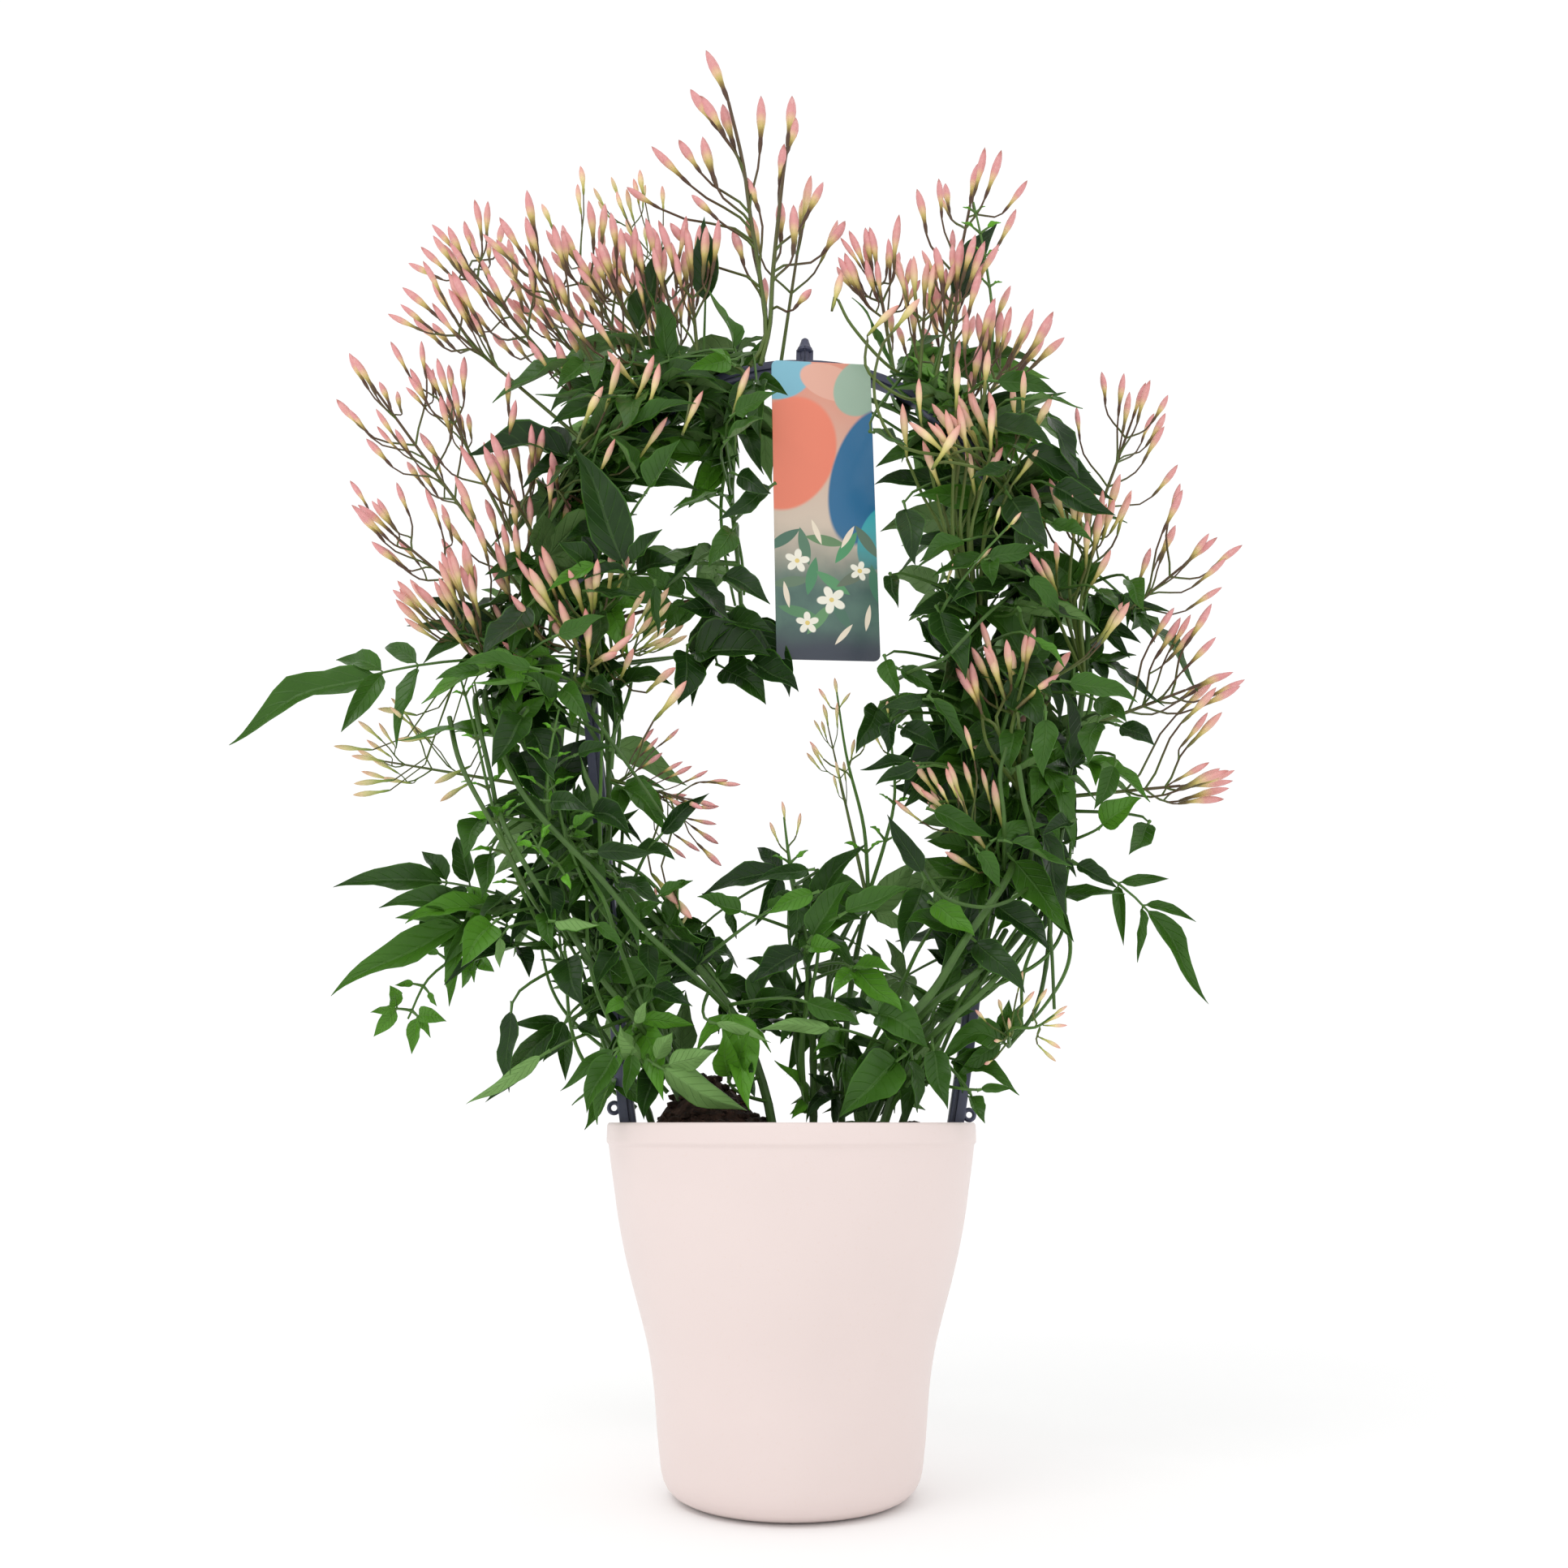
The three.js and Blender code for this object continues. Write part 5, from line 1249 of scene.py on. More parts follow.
class Leaf:
    """A pinnate leaf: a stalk, pairs of leaflets that droop, and a larger end leaflet."""

    def __init__(self, gather, root, tip, end_length, pairs, facing, rng, **form):
        form = {"age": 1.0, "tone": 0.5, "broad": 1.0, "rise": 0.16, "curl": 0.0} | form
        self.gather, self.end_length, self.facing, self.rng = gather, end_length, facing, rng
        self.age, self.tone, self.broad = form["age"], form["tone"], form["broad"]
        self.green = 0.35 + 0.65 * self.age
        draw = shapes()
        reach = np.linalg.norm(tip - root)
        self.course = arch(root, mix(root, tip, 0.55) + UP * form["rise"] * reach, tip)
        share = min(0.8, max(0.12, 1 - end_length / reach))
        self.twist = (rng() - 0.5) * 0.9
        self.fold = 0.2 + 0.6 * rng()
        stalk = Line(self.course.at(np.linspace(0, share + 0.02, 10)))
        knots = [(0, 0.95), (0.1, 0.7), (1, 0.5)]
        bent_rod(gather, stalk, knots, 5, 5, STEM, 0.5 + 0.5 * self.tone, self.green, facing)
        for k in reversed(range(pairs)):
            place = share * (0.93 - 0.6 * k / max(pairs, 1.6))
            for sign in (1, -1):
                self.side_leaflet(draw["side"], place, sign)
        self.end_leaflet(draw["end"], share, form["curl"])

    def stand(self, t):
        """Where the leaf's stalk is, its way, the side it faces and the way across it."""
        along = self.course.along(t)
        face = np.broadcast_to(self.facing, along.shape)
        face = face * math.cos(self.twist) + np.cross(along, face) * math.sin(self.twist)
        face = face - along * np.sum(face * along, axis=-1, keepdims=True)
        face = face / np.maximum(np.linalg.norm(face, axis=-1, keepdims=True), 1e-9)
        return self.course.at(t), along, face, np.cross(along, face)

    def waved(self, s, w, size, phase):
        """How far a leaflet's surface stands off its flat: rippled at the border."""
        border = np.abs(w) * w**2
        ripple = np.sin(12 * s + phase + 2.4 * np.sign(w)) * border * np.sin(math.pi * np.clip(s, 0, 1))
        return 0.13 * size**0.75 * ripple + 0.024 * size * np.sin(7 * s + 2 * phase)

    def side_leaflet(self, leaflet, place, sign):
        """A drooping leaflet on its twig, at a place along the stalk."""
        rng = self.rng
        s, w, h = leaflet.points.T
        at, along, face, side = (v[0] for v in self.stand(np.array([place])))
        spread = 0.8 + 0.45 * rng()
        size = min(32, max(14, self.end_length * 0.56 * (0.78 + 0.4 * rng())))
        half = size * (0.155 + 0.04 * rng()) * self.broad
        way = unit(along * math.cos(spread) + side * sign * math.sin(spread) - UP * 0.2 * rng())
        up = face + np.cross(way, face) * (rng() - 0.5) * 1.3
        up = unit(up - way * (up @ way))
        across = np.cross(way, up)
        height = self.fold * half * np.abs(w) - 0.1 * size * s**2 + h
        height += self.waved(s, w, size, 40 * place + 3 * sign)
        out = way * (size * (0.05 + 0.95 * s))[:, None]
        out -= UP * (size * (0.04 + 0.24 * rng()) * s**2)[:, None]
        base = at + side * sign * 0.5 + across * 0.05 * size * (s**2 * (rng() - 0.5))[:, None]
        points = base + out + across * (half * w)[:, None] + up * height[:, None]
        self.gather.put(leaflet, points, 0, self.tone, self.age)
        twig = Line(np.stack([at, at + side * sign * 0.5 + way * size * 0.1]))
        tone = 0.4 + 0.5 * self.tone
        bent_rod(self.gather, twig, [(0, 0.45), (1, 0.35)], 4, 1, STEM, tone, self.green, face)

    def end_leaflet(self, leaflet, share, curl):
        """The end leaflet, which follows the stalk's line from share to its tip."""
        size, twist = self.end_length, self.twist
        half = size * (0.135 + 0.04 * self.rng()) * self.broad
        s, w, h = leaflet.points.T
        at, _, face, side = self.stand(share + (1 - share) * s)
        height = self.fold * half * np.abs(w) + h + self.waved(s, w, size, 29 * twist)
        height -= curl * size * s**2
        sway = 0.045 * size * np.sin(5.5 * s + 9 * twist) * s
        ripple = 0.07 * np.sin(11 * s + 17 * twist + 2.2 * np.sign(w)) * np.sin(math.pi * np.clip(s, 0, 1))
        shift = half * w * (1 + ripple) + sway
        shift += curl * 0.6 * size * s**2 * (1 if twist > 0 else -1)
        points = at + side * shift[:, None] + face * height[:, None]
        self.gather.put(leaflet, points, 0, self.tone, self.age)


def clear_of_label(leaf):
    """Whether a leaf neither cuts the label, nor hangs before it, nor stands above the crown there."""
    x, y, z = np.concatenate([points for _, points, *_ in leaf.parts]).T
    cuts = (x > -12) & (x < 42) & (z > 329) & (z < 488) & (abs(y + 9) < 7)
    hides = (x > -5) & (x < 36) & (z > 340) & (z < 480) & (y < -9)
    tops = (x > -8) & (x < 34) & (z > 484)
    return not (cuts | hides | tops).any()


def facing_of(tip):
    """The way a leaf faces: up, out from the ring, and to the front or back."""
    outward = unit((tip - np.array([0, 0, 320])) * np.array([1, 0, 1]))
    return unit(outward * 0.35 + np.array([0, (1 if tip[1] > 8 else -1) * 0.8, 0.7]))


def inside(point, corners):
    """Whether a point [x, z] lies inside corners."""
    x, z = point
    hit = False
    for (x0, z0), (x1, z1) in zip(corners, corners[1:] + corners[:1]):
        if (z0 > z) != (z1 > z) and x < (x1 - x0) * (z - z0) / (z1 - z0) + x0:
            hit = not hit
    return hit


def emptiest(draw, corners, taken, tries):
    """Of some places drawn inside corners, the one that is farthest from those taken."""
    xs, zs = zip(*corners)
    best, room = None, -1
    for _ in range(tries):
        spot = (draw.uniform(min(xs), max(xs)), draw.uniform(min(zs), max(zs)))
        space = min([math.dist(spot, other) for other in taken] or [999])
        if space > room and inside(spot, corners):
            best, room = spot, space
    return best


def moved_to(spot, depth):
    """A place seen at [x, z] in the hoop's plane, at another depth."""
    k = 1 - depth / EYE[1]
    return np.array([EYE[0] + (spot[0] - EYE[0]) * k, depth, EYE[2] + (spot[1] - EYE[2]) * k])


def sighted(across, down, depth):
    """The place at a depth that the camera sees at a step across and a step down its frame."""
    aside, above, far = across - FRAME / 2, FRAME / 2 - down, LENS / SENSOR * FRAME
    reach = (depth - EYE[1]) / (far * math.cos(TILT) - above * math.sin(TILT))
    height = reach * (far * math.sin(TILT) + above * math.cos(TILT))
    return np.array([EYE[0] + reach * aside, depth, EYE[2] + height])


# The sheet on which places were drawn lies square to the camera: millimetres to a step, and
# where its x = 0 and the height of the pot's rim fall in the frame.
SHEET_STEP, SHEET_MIDDLE, SHEET_RIM = 0.3675, 972, 1380


def from_sheet(spot):
    """A place drawn at [x, z] on the sheet, as [x, z] in the hoop's plane."""
    x, _, z = sighted(SHEET_MIDDLE + spot[0] / SHEET_STEP, SHEET_RIM - (spot[1] - 140) / SHEET_STEP, 0)
    return round(x), round(z)


class Plant:
    """The stems' courses, and the leaves and sprays that grow on each."""

    def __init__(self, leaves):
        self.courses = {}
        self.gathers = {}
        for name, (radius, carrier, places) in STEMS.items():
            places = [np.array(p, float) for p in places]
            if carrier:
                on = self.courses[carrier]
                places[0] = on.at(on.nearest(mix(places[0], places[1], 0.25)))
            course = self.courses[name] = through(places)
            gather = self.gathers[name] = Gather()
            swell = [1.14 if k % 5 == 2 else 1 for k in range(31)]
            knots = [(k / 30, radius * (1 - 0.25 * k / 30) * swell[k]) for k in range(31)]
            bent_rod(gather, course, knots, 8, 30, STEM, 0.35, 1.0)
            self.twine(gather, course, radius, len(self.courses))
        self.seeds = random.Random(leaves.seed)

    def twine(self, gather, course, radius, seed):
        """Thinner shoots that climb round a stem."""
        draw = random.Random(seed)
        for _ in range(4 if course.length > 120 else 2):
            turn, pace, first = draw.uniform(0, 6), draw.uniform(0.012, 0.035), draw.uniform(0.2, 0.45)
            share = np.linspace(first, draw.uniform(0.8, 1.0), 40)
            _, side, other = frames(course, share, BACK)
            angle = (turn + pace * share * course.length)[:, None]
            out = radius + 1 + draw.uniform(4, 13) * np.sin(np.linspace(0.15, 3.0, 40))[:, None]
            line = Line(course.at(share) + (side * np.cos(angle) + other * np.sin(angle)) * out)
            bent_rod(gather, line, [(0, 1.0), (1, 0.65)], 5, 24, STEM, draw.uniform(0.6, 1.3), 1.0)

    def leaf(self, stem, place, tip, *rest, **form):
        """A leaf that grows from a place along a stem."""
        root = self.courses[stem].at(place)
        Leaf(self.gathers[stem], root, np.array(tip, float), *rest, **form)

    def set_leaves(self):
        """The leaves that have a place of their own."""
        rows = [(stem, leaf) for stem, leaves in LEAVES for leaf in leaves]
        for i, (stem, (place, tip, end_length, pairs, *special)) in enumerate(rows):
            form = {"facing": "out", "broad": 1, "tone": self.seeds.random() ** 1.3}
            form.update(*special)
            form["broad"] *= 1.15 - 0.012 * (end_length - 30)
            out = facing_of(tip)
            facing = {"out": out, "under": -out, "front": unit(UP * 0.5 - BACK)}[form.pop("facing")]
            self.leaf(stem, place, tip, end_length, pairs, facing, scattered(900 + i), **form)

        draw = random.Random(83)
        for stem, place, tip, end_length, pairs, age, tone in MORE_LEAVES:
            form = {"broad": draw.uniform(0.95, 1.15), "rise": draw.uniform(0.12, 0.25)}
            form |= {"curl": draw.uniform(0, 0.1), "age": age, "tone": tone}
            self.leaf(stem, place, tip, end_length, pairs, facing_of(tip), draw.random, **form)

    def stations(self, first, counted):
        """Names of stems and places along them, as many on each as counted says for its length."""
        found = []
        for name, course in self.courses.items():
            for share in np.linspace(first, 1, counted(course.length)):
                found.append((name, course.at(share)))
        return [name for name, _ in found], np.array([place for _, place in found])

    def fill(self):
        """Leaves that thicken the ring, their tips spread evenly over its dense parts."""
        draw = self.seeds
        stations = self.stations(0.08, lambda length: max(4, int(length / 6)))
        for corners, level, short, long, *counts, fringe in THICKETS:
            corners = [from_sheet(corner) for corner in corners]
            middle = np.mean(corners, axis=0)
            for _ in range(fringe):
                k = draw.randrange(len(corners))
                edge = mix(np.array(corners[k - 1]), np.array(corners[k]), draw.random())
                tip = edge + unit(edge - middle) * draw.uniform(4, 16)
                if tip[1] > POT_HEIGHT - 2 and not inside(tip, OPENING):
                    self.fill_one(moved_to(tip, draw.uniform(-34, 30)), stations, level, short, long, 26)
            for count, (near, far) in zip(counts, LAYERS):
                taken = []
                for _ in range(count):
                    spot = emptiest(draw, corners, taken, 12)
                    if spot:
                        taken.append(spot)
                        tip = moved_to(spot, draw.uniform(near, far))
                        self.fill_one(tip, stations, level, short, long)

    def fill_one(self, tip, stations, level, short, long, further=0):
        """A leaf to a tip, from the place on a stem that suits it best."""
        draw = self.seeds
        names, spots = stations
        gaps = np.linalg.norm(spots - tip, axis=1)
        wanted = max(draw.uniform(short, long + 10), gaps.min() + draw.uniform(6, 20)) + further
        cost = np.abs(gaps - wanted) + level * np.abs(tip[2] - spots[:, 2])
        order = np.argsort(cost + np.array([draw.uniform(0, 14) for _ in cost]))
        for k in order[:8]:
            middle = mix(spots[k], tip, 0.6)
            if inside((middle[0], middle[2]), OPENING):
                continue
            end_length = draw.uniform(short, long)
            pairs = draw.choice([1, 2, 2]) if wanted < 64 else draw.choice([2, 3])
            loose = np.array([draw.uniform(-1, 1), draw.uniform(-0.4, 0.4), draw.uniform(-0.9, 0.9)])
            facing = unit(facing_of(tip) + loose * 0.95)
            if draw.random() < 0.9:
                form = {"age": 1.0, "tone": draw.random() ** 1.3}
            else:
                form = {"age": draw.uniform(0.55, 0.85), "tone": 1.0}
            form["broad"] = draw.uniform(0.95, 1.25) + 0.008 * (long - 40)
            form |= {"rise": draw.uniform(0.02, 0.34), "curl": draw.uniform(0, 0.24)}
            leaf = Gather()
            Leaf(leaf, spots[k], tip, end_length, pairs, facing, draw.random, **form)
            if clear_of_label(leaf):
                self.gathers[names[k]].parts += leaf.parts
                return

    def place_blades(self):
        """The single leaflets, each on a stalk from the nearest stem."""
        draw = random.Random(5)
        names, spots = self.stations(0.1, lambda length: 24)
        for age, tone, turned, depth, broadest, blades in BLADES:
            for x0, z0, x1, z1, broad in blades:
                foot, top, broad = from_sheet((x0, z0)), from_sheet((x1, z1)), min(broad, broadest)
                near, seen = depth + draw.uniform(-5, 7), math.dist(foot, top)
                lean = min(14, seen * math.sqrt(max(0, (broad / 19) ** 2 - 1)))
                base, tip = moved_to(foot, near + lean * 0.6), moved_to(top, near - lean * 0.4)
                way = unit(tip - base)
                base = base - (tip - base) * 0.1
                k = int(np.argmin(np.linalg.norm(spots - (base - way * 10), axis=1)))
                gather = self.gathers[names[k]]
                stalk = arch(spots[k], base - way * 6 - BACK * 3, base + way)
                bent_rod(gather, stalk, [(0, 0.9), (1, 0.55)], 5, 8, STEM, 0.5, 0.3 + 0.6 * age)
                loose = np.array([draw.uniform(-0.5, 0.5), 0, draw.uniform(-0.5, 0.5)])
                facing = unit(np.array([0, -1, 0.35]) + loose) * (-1 if turned else 1)
                length = np.linalg.norm(tip - base)
                form = {"broad": broad * seen / length / 14.2, "rise": draw.uniform(0.0, 0.14), "age": age}
                form["tone"] = tone + draw.uniform(0, 0.25)
                Leaf(gather, base, tip, length * 0.96, 0, facing, draw.random, **form)

    def front_shoots(self):
        """The thick shoots that show in front of the leaves."""
        for name, radius, age, places in FRONT_SHOOTS:
            line = through([moved_to(from_sheet((x, z)), depth) for x, depth, z in places])
            knots = [(0, radius), (1, radius * 0.75)]
            bent_rod(self.gathers[name], line, knots, 7, 30, STEM, 0.35, 0.4 + 0.6 * age)

    def cross(self):
        """Long thin shoots that pass in front of the leaves from one part of a stem to another."""
        draw = random.Random(61)
        for first, near, second, far, forward in CROSSINGS:
            start_at, end_at = self.courses[first].at(near), self.courses[second].at(far)
            middle = mix(start_at, end_at, 0.5) - BACK * forward + ACROSS * draw.uniform(-8, 8)
            before, after = (mix(mix(start_at, end_at, t), middle, 0.6) for t in (0.25, 0.75))
            line = through([start_at, before, middle, after, end_at])
            tone = draw.uniform(0.8, 1.5)
            bent_rod(self.gathers[first], line, [(0, 1.1), (1, 0.6)], 5, 24, STEM, tone, 1.0)

    def dry_tendril(self):
        """The thin dry shoot across the ring's opening."""
        line = through(DRY_TENDRIL)
        bent_rod(self.gathers["left_inner"], line, [(0, 0.95), (1, 0.7)], 6, 14, STEM, 0.0, 0.0)

    def green_sprays(self):
        """The unripe sprays, in one piece with their stems."""
        greens = stream(77)
        for i, (stem, near, top, width, pairs, size) in enumerate(GREEN_SPRAYS):
            course = self.courses[stem]
            rng = stream(int(greens() * 1e6))
            for _ in range(3):  # the solids draw three numbers more for each
                greens()
            root, top = course.at(course.nearest(np.array(near, float))), np.array(top, float)
            axis = spray_axis(root, top, size)
            draw = random.Random(300 + i)
            grow_spray(self.gathers[stem], axis, top, width, pairs, size, rng, draw, STEM_SLOTS, 0.3, 0.5)

    def new_shoots(self):
        """The lime-green shoots with small leaves and buds."""
        draw = random.Random(44)
        for stem, places, age, leaves, buds in NEW_SHOOTS:
            grow_shoot(self.gathers[stem], places, age, leaves, buds, draw)


# ---------------------------------------------------------------- sprays of buds
# Each spray's name, stem, a place near its root, its top, how wide it opens, its pairs of side
# stalks and its buds' size, and what sets it apart: ripeness, how often its stalks fork, and lift.
SPRAYS = [
    ("crown_low", "back_left", (-8, 13, 482), (8, 10, 584), 18, 2, 1, {"age": 0.8, "fullness": 0.2}),
    ("left_top_a", "left_top", (-92, -13, 434), (-177, -24, 510), 20, 2, 0.95),
    ("left_top_b", "left_top", (-86, -13, 442), (-170, -8, 554), 24, 3, 0.95),
    ("left_top_c", "left_top", (-78, -13, 452), (-134, -26, 545), 22, 3, 0.95),
    ("left_top_d", "left_top", (-68, -12, 461), (-109, -6, 552), 22, 3, 1),
    ("left_top_e", "left_top", (-60, -12, 467), (-89, -30, 527), 22, 3, 1),
    ("left_top_f", "left_top", (-52, -12, 472), (-65, -10, 551), 22, 3, 1),
    ("left_top_g", "left_top", (-44, -12, 476), (-47, -32, 532), 20, 2, 1),
    ("left_top_h", "back_left", (-70, 15, 448), (-124, 26, 532), 24, 2, 1),
    ("left_top_i", "back_left", (-52, 14, 464), (-74, 34, 540), 24, 2, 1),
    ("left_far", "left_mid", (-116, -5, 350), (-200, -16, 479), 30, 4, 0.85, {"fullness": 0.3}),
    ("left_far_inner", "left_mid", (-116, -7, 362), (-166, -20, 474), 22, 3, 0.85, {"fullness": 0.3}),
    ("left_far_low", "left_mid", (-116, 0, 336), (-189, -26, 402), 20, 2, 0.85),
    ("left_cluster_a", "left_mid", (-112, -10, 384), (-130, -34, 423), 22, 2, 1),
    ("left_cluster_b", "left_mid", (-104, -12, 408), (-103, -40, 420), 18, 2, 1),
    ("left_low", "left_front", (-126, -13, 328), (-160, -34, 362), 22, 3, 0.9, {"age": 0.85}),
    ("left_front", "left_inner", (-83, -9, 330), (-92, -50, 362), 18, 2, 1, {"age": 0.65, "fullness": 0.2}),
    ("hole_left", "left_inner", (-78, -10, 284), (-31, -22, 268), 26, 2, 0.6,
        {"age": 0.95, "fullness": 0.1, "lift": -0.25}),
    ("right_top_tall", "right_top", (70, -13, 459), (90, -10, 586), 22, 2, 1, {"fullness": 0.2}),
    ("right_top_a", "right_top", (52, -12, 471), (37, -16, 547), 16, 3, 1),
    ("right_top_b", "right_top", (62, -13, 465), (63, -24, 524), 18, 2, 1, {"age": 0.8}),
    ("right_top_c", "right_top", (76, -13, 454), (78, -30, 531), 14, 3, 1),
    ("right_top_d", "right_top", (84, -13, 446), (110, -22, 494), 20, 3, 1),
    ("right_back", "back_right", (74, 15, 453), (92, 34, 532), 22, 2, 1),
    ("right_mid_front", "right_mid", (106, -11, 394), (78, -44, 444), 22, 3, 0.95, {"age": 0.7}),
    ("right_outer_top", "right_outer", (131, 0, 384), (163, -10, 470), 26, 3, 0.8, {"fullness": 0.1}),
    ("right_cluster", "right_outer", (131, -2, 362), (128, -32, 405), 22, 3, 0.95,
        {"age": 0.75, "fullness": 0.35}),
    ("right_outer", "right_outer", (130, -3, 340), (189, -14, 392), 28, 2, 0.85, {"fullness": 0}),
    ("right_low_a", "right_outer", (123, -6, 300), (190, -18, 328), 26, 4, 0.9, {"fullness": 0.1}),
    ("right_low_b", "right_low", (118, -8, 274), (185, -22, 279), 28, 3, 0.9,
        {"age": 0.85, "fullness": 0.1}),
    ("right_front_a", "right_front", (100, -15, 292), (78, -52, 328), 16, 2, 1,
        {"age": 0.75, "fullness": 0.3}),
    ("right_front_b", "right_front", (103, -14, 312), (114, -48, 327), 16, 2, 1,
        {"age": 0.7, "fullness": 0.2}),
    ("right_inner_low", "right_front", (89, -18, 246), (52, -44, 270), 20, 2, 0.7,
        {"age": 0.55, "fullness": 0.4}),
]
# Unripe sprays, all green, that grow in one piece with their stem, laid out as above without a name.
GREEN_SPRAYS = [
    ("back_left", (-44, 14, 470), (-88, 8, 592), 26, 3, 0.62),
    ("left_low", (-110, 7, 284), (-190, -6, 294), 24, 3, 0.6),
    ("left_inner", (-84, -9, 336), (-50, -30, 339), 16, 2, 0.8),
    ("centre_right", (32, -1, 232), (14, -4, 318), 14, 3, 0.45),
]
# A bud's full length, and its height and radius from its foot up, as shares.
BUD_LENGTH = 24
BUD_FORM = [
    (0.0, 0.24), (0.05, 0.36), (0.17, 0.5), (0.27, 0.44), (0.4, 0.62), (0.54, 0.93), (0.68, 1.0),
    (0.82, 0.8), (0.93, 0.42),
]


def bud_shape():
    """A bud of length 1 along Z and greatest radius 1: calyx, narrow tube and pointed spindle."""
    if "bud" not in SHAPES:
        obj = start(bpy.ops.mesh.primitive_circle_add, vertices=6, radius=1, fill_type="NGON")
        bpy.ops.transform.resize(value=(BUD_FORM[0][1], BUD_FORM[0][1], 1))
        for (z0, r0), (z1, r1) in zip(BUD_FORM, BUD_FORM[1:]):
            bpy.ops.mesh.extrude_region_move(TRANSFORM_OT_translate={"value": (0, 0, z1 - z0)})
            bpy.ops.transform.resize(value=(r1 / r0, r1 / r0, 1), center_override=(0, 0, z1))
        bpy.ops.mesh.extrude_region_move(TRANSFORM_OT_translate={"value": (0, 0, 0.07)})
        bpy.ops.mesh.merge(type="CENTER")
        face_outwards()
        wrap(settle(obj), round_axis)
        SHAPES["bud"] = Shape(obj)
    return SHAPES["bud"]


# The slots of a spray's two materials, in a piece of its own and in a stem's piece.
STALK, BUD = 0, 1
OWN_SLOTS, STEM_SLOTS = (0, 1), (3, 4)

# The two tall sprays, whose buds all have set places: the stalk's course, and each bud's tip, its
# foot and where its twig leaves the stalk, all [across, down] in a close view of the frame.
DRAWN = {
    "top_tall": (
        [(255, 539), (278, 500), (270, 400), (256, 310), (244, 225), (222, 132)],
        [(187, 52, 222, 132, 222, 132), (163, 112, 207, 176, 243, 235), (178, 122, 217, 186, 245, 240),
        (213, 135, 232, 204, 248, 255), (145, 190, 180, 242, 252, 305), (182, 185, 205, 265, 255, 320),
        (103, 200, 165, 262, 256, 335), (65, 263, 118, 297, 258, 350), (165, 275, 207, 315, 262, 358),
        (250, 248, 270, 302, 266, 400), (252, 310, 258, 352, 270, 420), (272, 122, 270, 212, 258, 300),
        (228, 330, 246, 385, 272, 440), (278, 402, 280, 462, 276, 480), (132, 318, 170, 365, 268, 420)],
    ),
    "top_right": (
        [(271, 537), (285, 480), (290, 400), (300, 300), (308, 230), (313, 200)],
        [(320, 122, 312, 200, 313, 200), (326, 156, 309, 216, 306, 240), (308, 196, 300, 262, 302, 300),
        (302, 283, 303, 352, 292, 390), (322, 290, 321, 370, 292, 410), (368, 255, 336, 320, 296, 360),
        (402, 315, 365, 368, 292, 392), (350, 420, 322, 452, 288, 450)],
    ),
}
# That view's left and top in the frame and its scale, and how deep both stalks stand.
CLOSE_UP = (720, 20, 0.8)
DRAWN_DEPTH = -13

# More buds of the sprays, seen from the front: corners [x, z] of a bed, how many, the depths
# between which they stand, ripeness, size, and length of stalk.
BUD_BEDS = [
    ([(-180, 530), (-170, 562), (-135, 566), (-100, 560), (-60, 558), (-46, 540), (-50, 512), (-90, 494),
        (-150, 500), (-182, 508)],
        62, -40, 24, 1.0, 0.95, 50),
    ([(38, 545), (50, 530), (62, 540), (78, 548), (92, 528), (114, 508), (110, 488), (92, 478), (60, 500),
        (50, 505)],
        20, -34, 26, 0.98, 0.95, 48),
    ([(-158, 430), (-142, 446), (-108, 442), (-98, 415), (-112, 384), (-150, 384), (-162, 400)],
        24, -42, -4, 0.97, 0.95, 50),
    ([(-180, 372), (-150, 384), (-110, 372), (-100, 350), (-150, 345)],
        12, -44, -14, 0.85, 0.9, 50),
    ([(56, 300), (80, 306), (84, 286), (60, 280)],
        7, -40, -24, 0.5, 0.7, 40),
]
# Buds that stand out singly: ripeness, size, depth, and their tips [x, z].
SINGLE_BUDS = [
    (0.45, 0.7, -4, [(-102, 592), (-103, 582), (-84, 578), (-73, 590), (-76, 585), (-62, 581), (-120, 571),
        (-79, 563)]),
    (0.95, 0.8, -14, [(-207, 491), (-188, 497), (-178, 483), (-172, 487), (-160, 485), (-207, 463),
        (-196, 447), (-202, 426), (-198, 411), (-190, 396), (-172, 434), (-183, 452)]),
    (0.6, 0.95, -44, [(-86, 492), (-80, 488), (-64, 490), (-57, 458), (-81, 447), (-92, 383), (-70, 362),
        (-70, 345), (-51, 336), (-46, 330)]),
    (0.2, 0.7, -10, [(-200, 300), (-190, 283), (-190, 278), (-173, 303), (-155, 283), (-152, 275),
        (-182, 317)]),
    (0.95, 0.95, -12, [(72, 585), (115, 584), (78, 557), (36, 558), (47, 552)]),
    (0.85, 0.85, -12, [(158, 471), (168, 477), (174, 460), (178, 434), (175, 404), (190, 400), (197, 388),
        (194, 374), (179, 361), (163, 393)]),
    (0.6, 0.9, -38, [(113, 388), (152, 367), (149, 367), (75, 267), (66, 253), (88, 285), (-42, 224),
        (-48, 230)]),
]

# The small buds that stand out into the opening from the left: their tips, on the sheet.
HOLE_BUDS = [
    (-61, 317), (-59, 313), (-50, 317), (-57, 306), (-48, 302), (-44, 300), (-37, 298), (-31, 282),
    (-33, 274), (-40, 261), (-47, 258), (-37, 284), (-46, 287),
]

